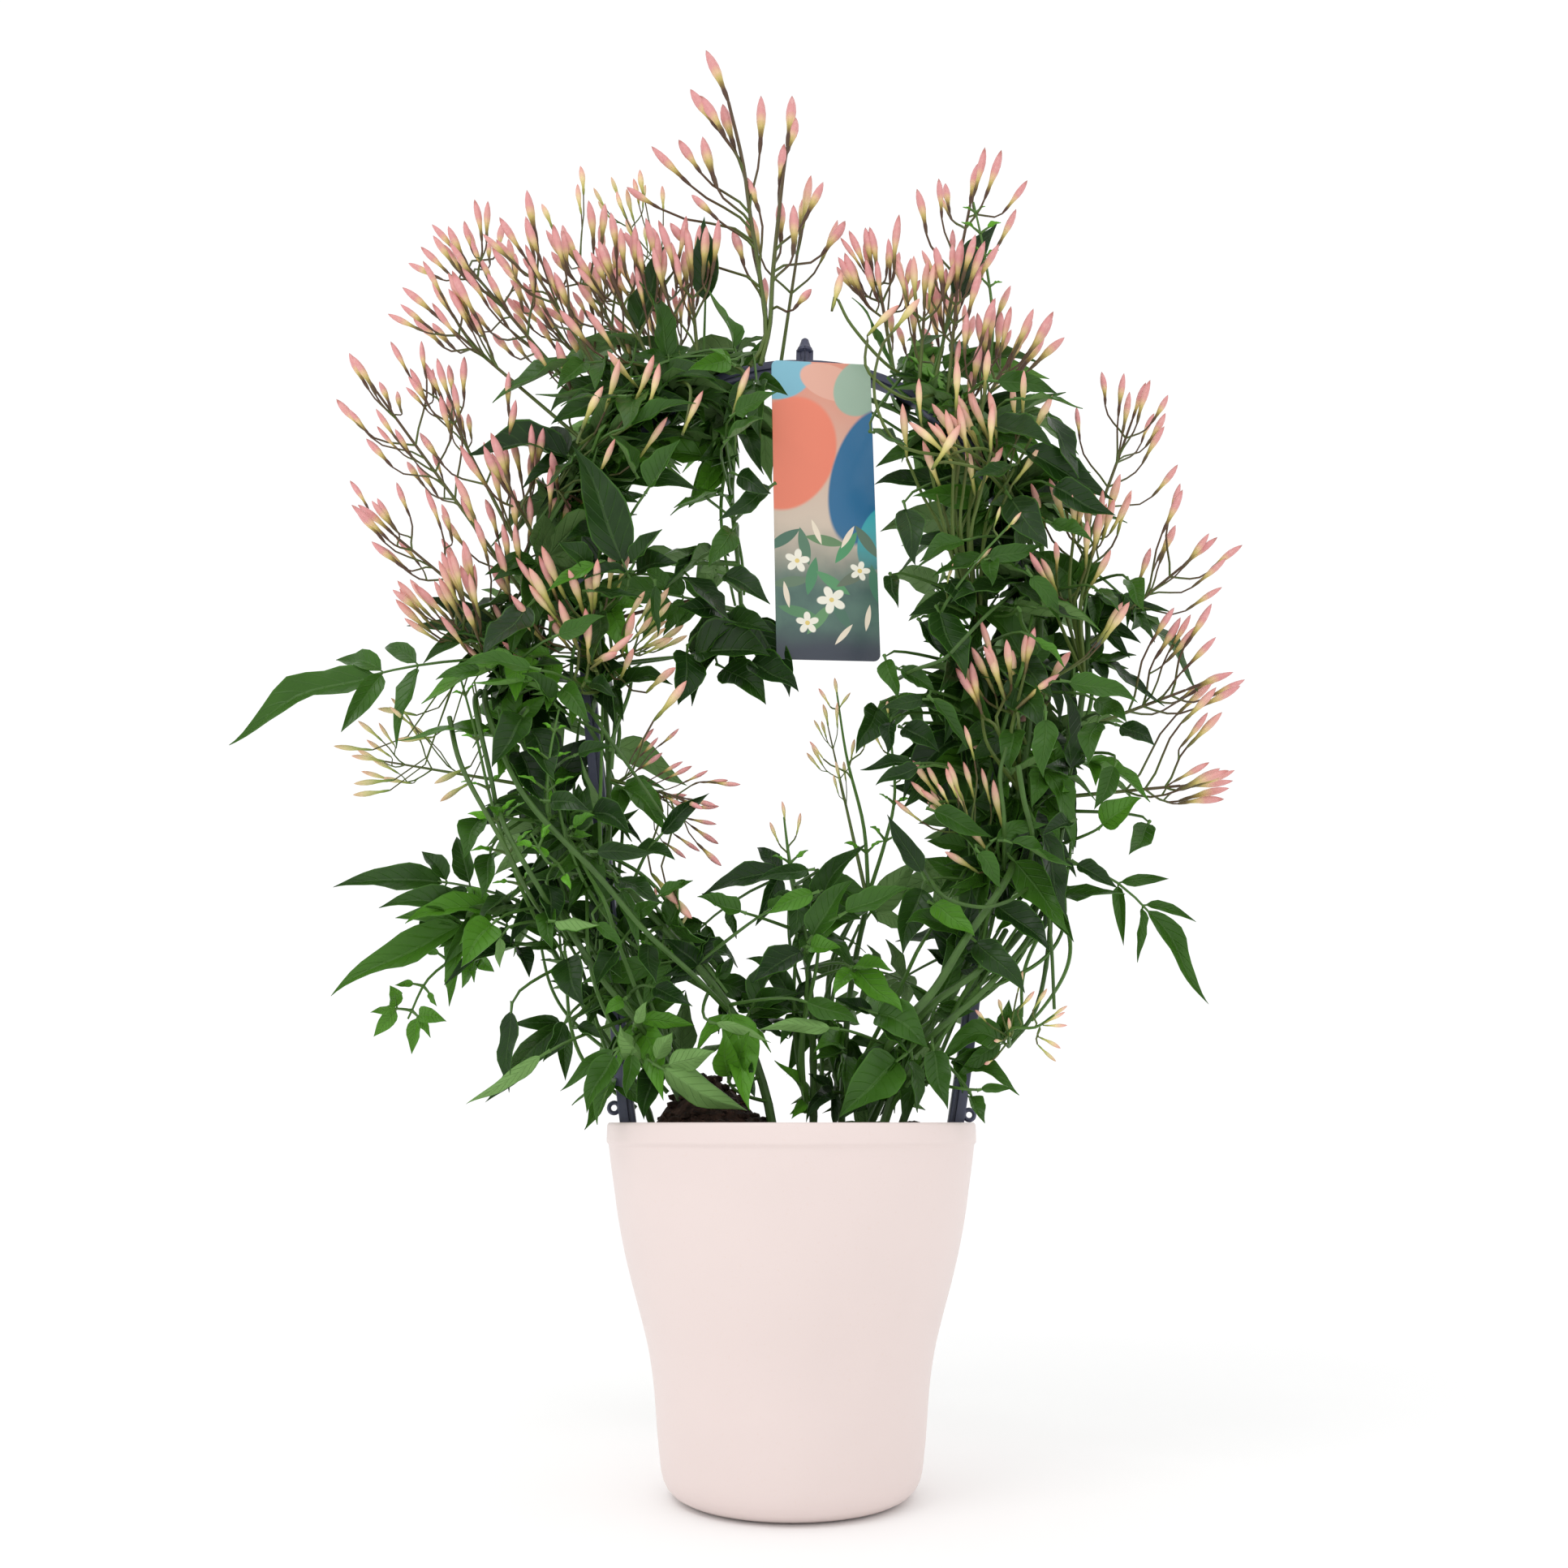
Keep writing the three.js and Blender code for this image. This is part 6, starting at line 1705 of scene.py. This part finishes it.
# Bunches of long green stalks that rise together in front of the leaves: the spray they belong
# to, the stem and place they leave, where they turn up, ripeness, size, and the buds' tips [x, z].
BUNCHES = [
    ("right_mid_front", "right_inner", 0.85, (74, -28, 396), 0.62, 0.95, [
        (77, 465), (92, 465), (71, 462), (61, 448), (80, 446), (97, 445), (115, 447), (119, 468), (76, 485),
        (59, 476), (90, 489), (51, 465), (66, 456)]),
    ("right_front_a", "right_front", 0.8, (90, -36, 306), 0.78, 0.95, [
        (75, 345), (82, 348), (90, 356), (111, 363), (123, 342)]),
    ("right_cluster", "right_outer", 0.45, (122, -22, 368), 0.78, 0.9, [
        (109, 397), (128, 427), (134, 425), (135, 412), (121, 402), (141, 417), (146, 398)]),
    ("left_front", "left_inner", 0.6, (-90, -34, 330), 0.7, 0.95, [
        (-92, 372), (-78, 352), (-104, 376), (-70, 360)]),
]

# Stalks that loop out before they rise, each with its last place the bud's apex.
LOOPS = [
    (0.55, [(52, -13, 471), (40, -30, 470), (26, -34, 486), (20, -32, 500), (23, -30, 514)]),
    (0.5, [(66, -13, 462), (48, -40, 446), (33, -42, 458), (34, -40, 476), (48, -38, 492)]),
    (0.5, [(97, -12, 418), (70, -42, 416), (46, -46, 420), (36, -44, 444), (40, -42, 470), (57, -40, 494)]),
    (0.6, [(100, -12, 408), (84, -42, 420), (66, -48, 414), (50, -48, 430)]),
    (0.55, [(100, -12, 408), (80, -44, 410), (62, -48, 412), (72, -50, 428)]),
    (0.65, [(97, -12, 418), (78, -42, 418), (64, -46, 424), (58, -48, 430)]),
    (0.6, [(-80, -13, 450), (-76, -40, 428), (-62, -44, 436), (-57, -44, 460)]),
    (0.6, [(-80, -13, 450), (-92, -40, 424), (-88, -44, 432), (-81, -44, 449)]),
    (0.6, [(-34, -11, 481), (-20, -30, 462), (-24, -36, 444), (-18, -38, 462)]),
    (0.55, [(-56, -12, 470), (-44, -36, 452), (-46, -40, 430), (-38, -42, 448)]),
]


def put_bud(gather, base, aim, size, draw, slots, age, radius=1.9):
    """A bud from its foot, a little bowed, that points along aim."""
    shape = bud_shape()
    apex = base + aim * BUD_LENGTH * size
    side = unit(np.cross(aim, BACK + 0.01))
    bow = side * draw.uniform(-1, 1) * 1.3 * size
    line = arch(base, mix(base, apex, 0.5) + bow, apex)
    _, one, two = frames(line, shape.points[:, 2], BACK)
    wide = radius * size * draw.uniform(0.85, 1.08)
    points = line.at(shape.points[:, 2]) + (one * shape.points[:, :1] + two * shape.points[:, 1:2]) * wide
    gather.put(shape, points, slots[BUD], draw.random(), age)


def put_twig(gather, start_at, end_at, leave, arrive, radius, slots, age):
    """A twig that sets out and arrives in given ways."""
    reach = np.linalg.norm(end_at - start_at)
    t = np.linspace(0, 1, 9)[:, None]
    a, b = start_at + leave * reach * 0.4, end_at - arrive * reach * 0.4
    line = Line((1 - t) ** 3 * start_at + 3 * t * (1 - t) ** 2 * a + 3 * t**2 * (1 - t) * b + t**3 * end_at)
    bent_rod(gather, line, [(0, radius), (1, radius * 0.8)], 5, 4, slots[STALK], 0.5, age)
    return line


def spray_axis(root, top, size):
    """A spray's main stalk, up to the foot of its top bud."""
    neck = top - unit(top - root) * BUD_LENGTH * size
    return arch(root, mix(root, top, 0.45), neck)


def grow_spray(gather, axis, top, width, pairs, size, rng, draw, slots, age, fullness, lift=0.35):
    """A spray: one stalk that ends in a bud, and pairs of side stalks that each bear one to three."""
    neck, up = axis.at(1.0), axis.along(1.0)
    bent_rod(gather, axis, [(0, 0.95), (1, 0.65 * size)], 6, 10, slots[STALK], 0.5, age * 0.75)
    put_bud(gather, neck, unit(top - neck), size, draw, slots, age)
    turn = rng() * math.pi
    for k in range(pairs):
        t = 0.87 - 0.52 * k / pairs
        node, tangent = axis.at(t), axis.along(t)
        side = unit(np.cross(tangent, BACK))
        reach = width * (0.34 + 0.66 * (k + 1) / pairs) * (0.8 + 0.35 * rng())
        rise = unit(mix(up, UP, lift))
        for half in (0, 1):
            azimuth = turn + k * 1.35 + half * math.pi + (rng() - 0.5) * 0.7
            out = unit(side * math.cos(azimuth) + np.cross(tangent, side) * 0.75 * math.sin(azimuth))
            stretch = reach * (0.8 + 0.4 * rng())
            bud_size = size * (0.88 + 0.2 * rng())
            base = node + out * stretch * 0.72 + rise * stretch * 0.8
            aim = unit(out * 0.3 + rise * 0.95)
            leave = unit(out * 0.7 + tangent * 0.7)
            line = put_twig(gather, node, base, leave, aim, 0.62 * size, slots, age)
            put_bud(gather, base, aim, bud_size, draw, slots, age * draw.uniform(0.85, 1.0))
            put_forks(gather, line, aim, size, bud_size, draw, slots, age, fullness)


def put_forks(gather, line, aim, size, bud_size, draw, slots, age, fullness):
    """Up to two smaller buds that fork off a side stalk, more often the fuller the spray."""
    side = unit(np.cross(aim, BACK * draw.uniform(0.4, 1) + ACROSS * draw.uniform(-0.8, 0.8)))
    for sign in (1, -1):
        if draw.random() > fullness:
            continue
        at = line.at(draw.uniform(0.3, 0.7))
        smaller = bud_size * draw.uniform(0.8, 0.98)
        lean = unit(aim + side * sign * draw.uniform(0.08, 0.3))
        foot = at + side * sign * draw.uniform(3, 6) * size + aim * draw.uniform(2, 9) * size
        put_twig(gather, at, foot, unit(aim + side * sign * 0.7), lean, 0.5 * size, slots, age)
        put_bud(gather, foot, lean, smaller, draw, slots, age * draw.uniform(0.8, 1.0))


def drawn_spray(gather, course, buds, draw):
    """A spray whose stalk and buds stand at set places."""
    def seen(across, down, depth):
        left, top, scale = CLOSE_UP
        return sighted(left + across * scale, top + down * scale, depth)

    line = through([seen(*place, DRAWN_DEPTH) for place in course])
    bent_rod(gather, line, [(0, 1.2), (1, 0.8)], 6, 16, STALK, 0.5, 0.75)
    for *tip, foot_across, foot_down, node_across, node_down in buds:
        share = line.nearest(seen(node_across, node_down, DRAWN_DEPTH))
        depth = DRAWN_DEPTH + draw.uniform(-14, 12) * (1 - share)
        tip, base = seen(*tip, depth + draw.uniform(-4, 4)), seen(foot_across, foot_down, depth)
        node, way, aim = line.at(share), line.along(share), unit(tip - base)
        if share < 0.99:
            put_twig(gather, node, base, unit(way + unit(base - node)), aim, 0.7, OWN_SLOTS, 1.0)
        size = np.linalg.norm(tip - base) / BUD_LENGTH
        put_bud(gather, base, aim, size, draw, OWN_SLOTS, draw.uniform(0.9, 1.0), 2.3 / size**0.6)
    return line


def grow_shoot(gather, places, age, leaves, buds, draw):
    """A thin new shoot with small leaves along it, and sometimes a few green buds."""
    line = through(places)
    bent_rod(gather, line, [(0, 1.0), (1, 0.45)], 5, 16, STEM, 0.9, 0.5 + 0.5 * age)
    form = {"age": age, "tone": 0.8, "broad": 1.3}
    for place, size in leaves:
        node, along = line.at(place), line.along(place)
        out = unit(np.cross(along, BACK + ACROSS * draw.uniform(-0.5, 0.5)))
        for sign in (1, -1):
            tip = node + (out * sign * draw.uniform(0.9, 1.2) + along * 0.5 - BACK * 0.3) * size
            facing = unit(along * 0.6 - BACK + UP * 0.4)
            Leaf(gather, node, tip, size * 0.75, 1 if size > 13 else 0, facing, draw.random, **form)
    for place, tip in [*buds, (0.97, line.at(1.0) + line.along(1.0) * 7)] if buds else []:
        node, way = line.at(place), line.along(place)
        aim = unit(unit(np.array(tip) - node) * 0.7 + way * 0.3)
        base = np.array(tip) - aim * BUD_LENGTH * 0.42
        put_twig(gather, node, base, way, aim, 0.45, STEM_SLOTS, 0.2)
        put_bud(gather, base, aim, 0.42, draw, STEM_SLOTS, draw.uniform(0.25, 0.5))


class Sprays:
    """The sprays that grow on the stems: by name, each one's axis and what it gathers."""

    def __init__(self, courses):
        self.courses, self.axes, self.gathers = courses, {}, {}
        for i, (name, (course, buds)) in enumerate(DRAWN.items()):
            gather = self.gathers[name] = Gather()
            self.axes[name] = drawn_spray(gather, course, buds, random.Random(i))
        for i, (name, stem, near, top, width, pairs, size, *special) in enumerate(SPRAYS, len(DRAWN)):
            form = {"age": 1.0, "fullness": 0.45}
            form.update(*special)
            top, course = np.array(top, float), courses[stem]
            root = course.at(course.nearest(mix(np.array(near, float), top, 0.12)))
            axis = self.axes[name] = spray_axis(root, top, size)
            gather = self.gathers[name] = Gather()
            rng, draw = scattered(500 + i), random.Random(i)
            grow_spray(gather, axis, top, width, pairs, size, rng, draw, OWN_SLOTS, **form)
        self.draw = random.Random(21)

    def fill_beds(self):
        """Buds spread evenly over beds."""
        draw = self.draw
        for corners, count, near, far, age, size, stalk in BUD_BEDS:
            taken = []
            while len(taken) < count:
                spot = emptiest(draw, corners, taken, 10)
                if spot:
                    taken.append(spot)
            for spot in taken:
                tip = moved_to(spot, draw.uniform(near, far))
                bud_size = size * draw.uniform(0.85, 1.05)
                self.join_bud(tip, bud_size, age * draw.uniform(0.82, 1.0), stalk)

    def single_buds(self):
        """Buds that stand out by themselves, each at its place."""
        for age, size, depth, spots in SINGLE_BUDS:
            for spot in spots:
                tip = moved_to(spot, depth + self.draw.uniform(-6, 6))
                self.join_bud(tip, size * self.draw.uniform(0.92, 1.05), age)
        for spot in HOLE_BUDS:
            tip = moved_to(from_sheet(spot), -14 + self.draw.uniform(-6, 6))
            self.join_bud(tip, 0.55 * self.draw.uniform(0.92, 1.05), 0.9)

    def join_bud(self, tip, size, age, stalk=46):
        """A bud at tip, on a stalk from the spray that it best belongs to."""
        wanted = self.draw.uniform(0.8, 1.2) * stalk * size
        best, least, choice = None, 1e9, None
        for name, axis in self.axes.items():
            share = np.linspace(0.12, 0.97, 24)
            nodes, ways = axis.at(share), axis.along(share)
            gap = tip - nodes
            far = np.linalg.norm(gap, axis=1)
            bent = 1 - np.sum(gap * ways, axis=1) / np.maximum(far, 1e-6)
            cost = np.abs(far - wanted) + 45 * bent
            k = int(np.argmin(cost))
            if cost[k] < least:
                best, least, choice = (nodes[k], ways[k]), cost[k], self.gathers[name]
        node, way = best
        aim = unit(unit(tip - node) * 0.7 + way * 0.25 + UP * 0.25)
        base = tip - aim * BUD_LENGTH * size
        leave = unit(unit(base - node) * 0.5 + way * 0.6)
        put_twig(choice, node, base, leave, aim, 0.58 * size, OWN_SLOTS, age)
        put_bud(choice, base, aim, size, self.draw, OWN_SLOTS, age)

    def bunches(self):
        """The bunches of long green stalks, each with a bud at its tip."""
        draw = self.draw
        for name, stem, place, turn, age, size, tips in BUNCHES:
            root = self.courses[stem].at(place)
            x, z = from_sheet(turn[::2])
            turn = np.array([x, turn[1], z])
            for spot in tips:
                tip = moved_to(from_sheet(spot), draw.uniform(-50, -36))
                foot = turn + [(tip[0] - turn[0]) * 0.3, draw.uniform(-6, 6), draw.uniform(-8, 8)]
                aim = unit(unit(tip - foot) + ACROSS * draw.uniform(-0.25, 0.25))
                bud_size = size * draw.uniform(0.88, 1.05)
                base = tip - aim * BUD_LENGTH * bud_size
                line = through([root, foot, mix(foot, base, 0.5) + BACK * 3, base])
                green = draw.uniform(-0.3, 0.1)
                bent_rod(self.gathers[name], line, [(0, 0.9), (1, 0.65)], 5, 14, STALK, 0.5, green)
                bud_age = age * draw.uniform(0.85, 1.1)
                put_bud(self.gathers[name], base, aim, bud_size, draw, OWN_SLOTS, bud_age)

    def loops(self):
        """The stalks that loop, each in one piece with the spray whose middle is nearest."""
        for age, places in LOOPS:
            *course, before, apex = (np.array(place, float) for place in places)
            aim = unit(apex - before)
            size = self.draw.uniform(0.9, 1.0)
            base = apex - aim * BUD_LENGTH * size
            course.append(before if len(places) > 4 else mix(before, base, 0.3))
            name = min(self.axes, key=lambda name: np.linalg.norm(self.axes[name].at(0.5) - apex))
            knots = [(0, 0.85), (1, 0.65)]
            bent_rod(self.gathers[name], through([*course, base]), knots, 5, 18, STALK, 0.5, 0.0)
            put_bud(self.gathers[name], base, aim, size, self.draw, OWN_SLOTS, age)


class JASMINE_OT_plant(bpy.types.Operator):
    """Grows the leafy stems round the hoop, each with its leaves and unripe sprays"""

    bl_idname = "jasmine.plant"
    bl_label = "Stems and leaves"

    def execute(self, context):
        leaves, buds = context.scene.jasmine_leaves, context.scene.jasmine_buds
        plant = Plant(leaves)
        plant.set_leaves()
        plant.fill()
        plant.cross()
        plant.place_blades()
        plant.front_shoots()
        plant.dry_tendril()
        plant.green_sprays()
        plant.new_shoots()
        materials = [blade_finish(leaves, False), blade_finish(leaves, True), stem_finish(leaves)]
        materials += [stalk_finish(buds, leaves), bud_finish(buds)]
        for name, gather in plant.gathers.items():
            gather.piece("shoot_" + name, materials, ["stem_" + name], "foliage")
        return {"FINISHED"}


class JASMINE_OT_sprays(bpy.types.Operator):
    """Grows the sprays of slender pink buds"""

    bl_idname = "jasmine.sprays"
    bl_label = "Sprays of buds"

    def execute(self, context):
        leaves, buds = context.scene.jasmine_leaves, context.scene.jasmine_buds
        sprays = Sprays(Plant(leaves).courses)
        sprays.fill_beds()
        sprays.single_buds()
        sprays.bunches()
        sprays.loops()
        materials = [stalk_finish(buds, leaves), bud_finish(buds)]
        for name, gather in sprays.gathers.items():
            gather.piece("buds_" + name, materials, ["spray_" + name], "buds", sharp=60)
        return {"FINISHED"}


# ---------------------------------------------------------------- stage
class JASMINE_OT_stage(bpy.types.Operator):
    """Sets a pale floor with soft studio light, and the camera in front of the pot"""

    bl_idname = "jasmine.stage"
    bl_label = "Stage"

    def execute(self, context):
        settings = context.scene.jasmine_stage
        scene = context.scene
        floor = start(bpy.ops.mesh.primitive_circle_add, vertices=96, radius=30, fill_type="NGON")
        bpy.ops.mesh.inset(thickness=28)
        settle(floor).name = "floor"
        white = Finish("floor_white", Base_Color=(0.97, 0.97, 0.97), Roughness=0.9, Specular_IOR_Level=0.1)
        wear(floor, white.material)
        world = bpy.data.worlds.new("studio")
        scene.world = world
        world.use_nodes = True
        sky = world.node_tree.nodes["Background"]
        sky.inputs["Color"].default_value = (1, 1, 1, 1)
        sky.inputs["Strength"].default_value = settings.surround
        for name, place, power, size in (
            ("key", (-0.8, -1.1, 1.9), settings.light, 0.8),
            ("fill", (1.3, -1.2, 0.9), settings.light * 0.15, 1.0),
        ):
            light = bpy.data.lights.new(name, "AREA")
            light.energy = power
            light.size = size
            lamp = bpy.data.objects.new(name, light)
            scene.collection.objects.link(lamp)
            lamp.location = place
            x, y, z = unit(np.array([0, 0, 0.3]) - np.array(place))
            lamp.rotation_euler = (math.acos(z) + math.pi, 0, math.atan2(y, x) - math.pi / 2)
        lens = bpy.data.cameras.new("camera")
        lens.lens = LENS
        lens.sensor_width = SENSOR
        lens.sensor_fit = "HORIZONTAL"
        lens.clip_start = 0.01
        camera = bpy.data.objects.new("camera", lens)
        scene.collection.objects.link(camera)
        camera.location = EYE * MM
        camera.rotation_euler = (math.radians(90) + TILT, 0, 0)
        scene.camera = camera
        scene.view_settings.view_transform = "Standard"
        scene.view_settings.look = "None"
        return {"FINISHED"}


# ---------------------------------------------------------------- sidebar
PROPERTY_GROUPS = {
    "jasmine_pot": JASMINE_PG_pot,
    "jasmine_hoop": JASMINE_PG_hoop,
    "jasmine_label": JASMINE_PG_label,
    "jasmine_leaves": JASMINE_PG_leaves,
    "jasmine_buds": JASMINE_PG_buds,
    "jasmine_stage": JASMINE_PG_stage,
}
OPERATORS = [
    JASMINE_OT_stage,
    JASMINE_OT_cover_pot,
    JASMINE_OT_nursery_pot,
    JASMINE_OT_soil,
    JASMINE_OT_hoop,
    JASMINE_OT_label,
    JASMINE_OT_plant,
    JASMINE_OT_sprays,
]


class JASMINE_PT_panel(bpy.types.Panel):
    bl_label = "Pink jasmine"
    bl_idname = "JASMINE_PT_panel"
    bl_space_type = "VIEW_3D"
    bl_region_type = "UI"
    bl_category = "Jasmine"

    def draw(self, context):
        for name, group in PROPERTY_GROUPS.items():
            box = self.layout.box()
            box.label(text=name.split("_")[1].title())
            for key in group.__annotations__:
                box.prop(getattr(context.scene, name), key)
        for operator in OPERATORS:
            self.layout.operator(operator.bl_idname)


def register():
    for group in PROPERTY_GROUPS.values():
        bpy.utils.register_class(group)
    for name, group in PROPERTY_GROUPS.items():
        setattr(bpy.types.Scene, name, bpy.props.PointerProperty(type=group))
    for kind in (*OPERATORS, JASMINE_PT_panel):
        bpy.utils.register_class(kind)


def unregister():
    for kind in (JASMINE_PT_panel, *reversed(OPERATORS)):
        bpy.utils.unregister_class(kind)
    for name in PROPERTY_GROUPS:
        delattr(bpy.types.Scene, name)
    for group in reversed(PROPERTY_GROUPS.values()):
        bpy.utils.unregister_class(group)


def main():
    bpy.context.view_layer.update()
    register()
    for operator in OPERATORS:
        group, name = operator.bl_idname.split(".")
        getattr(getattr(bpy.ops, group), name)()
    bpy.context.view_layer.update()


if __name__ == "__main__":
    main()
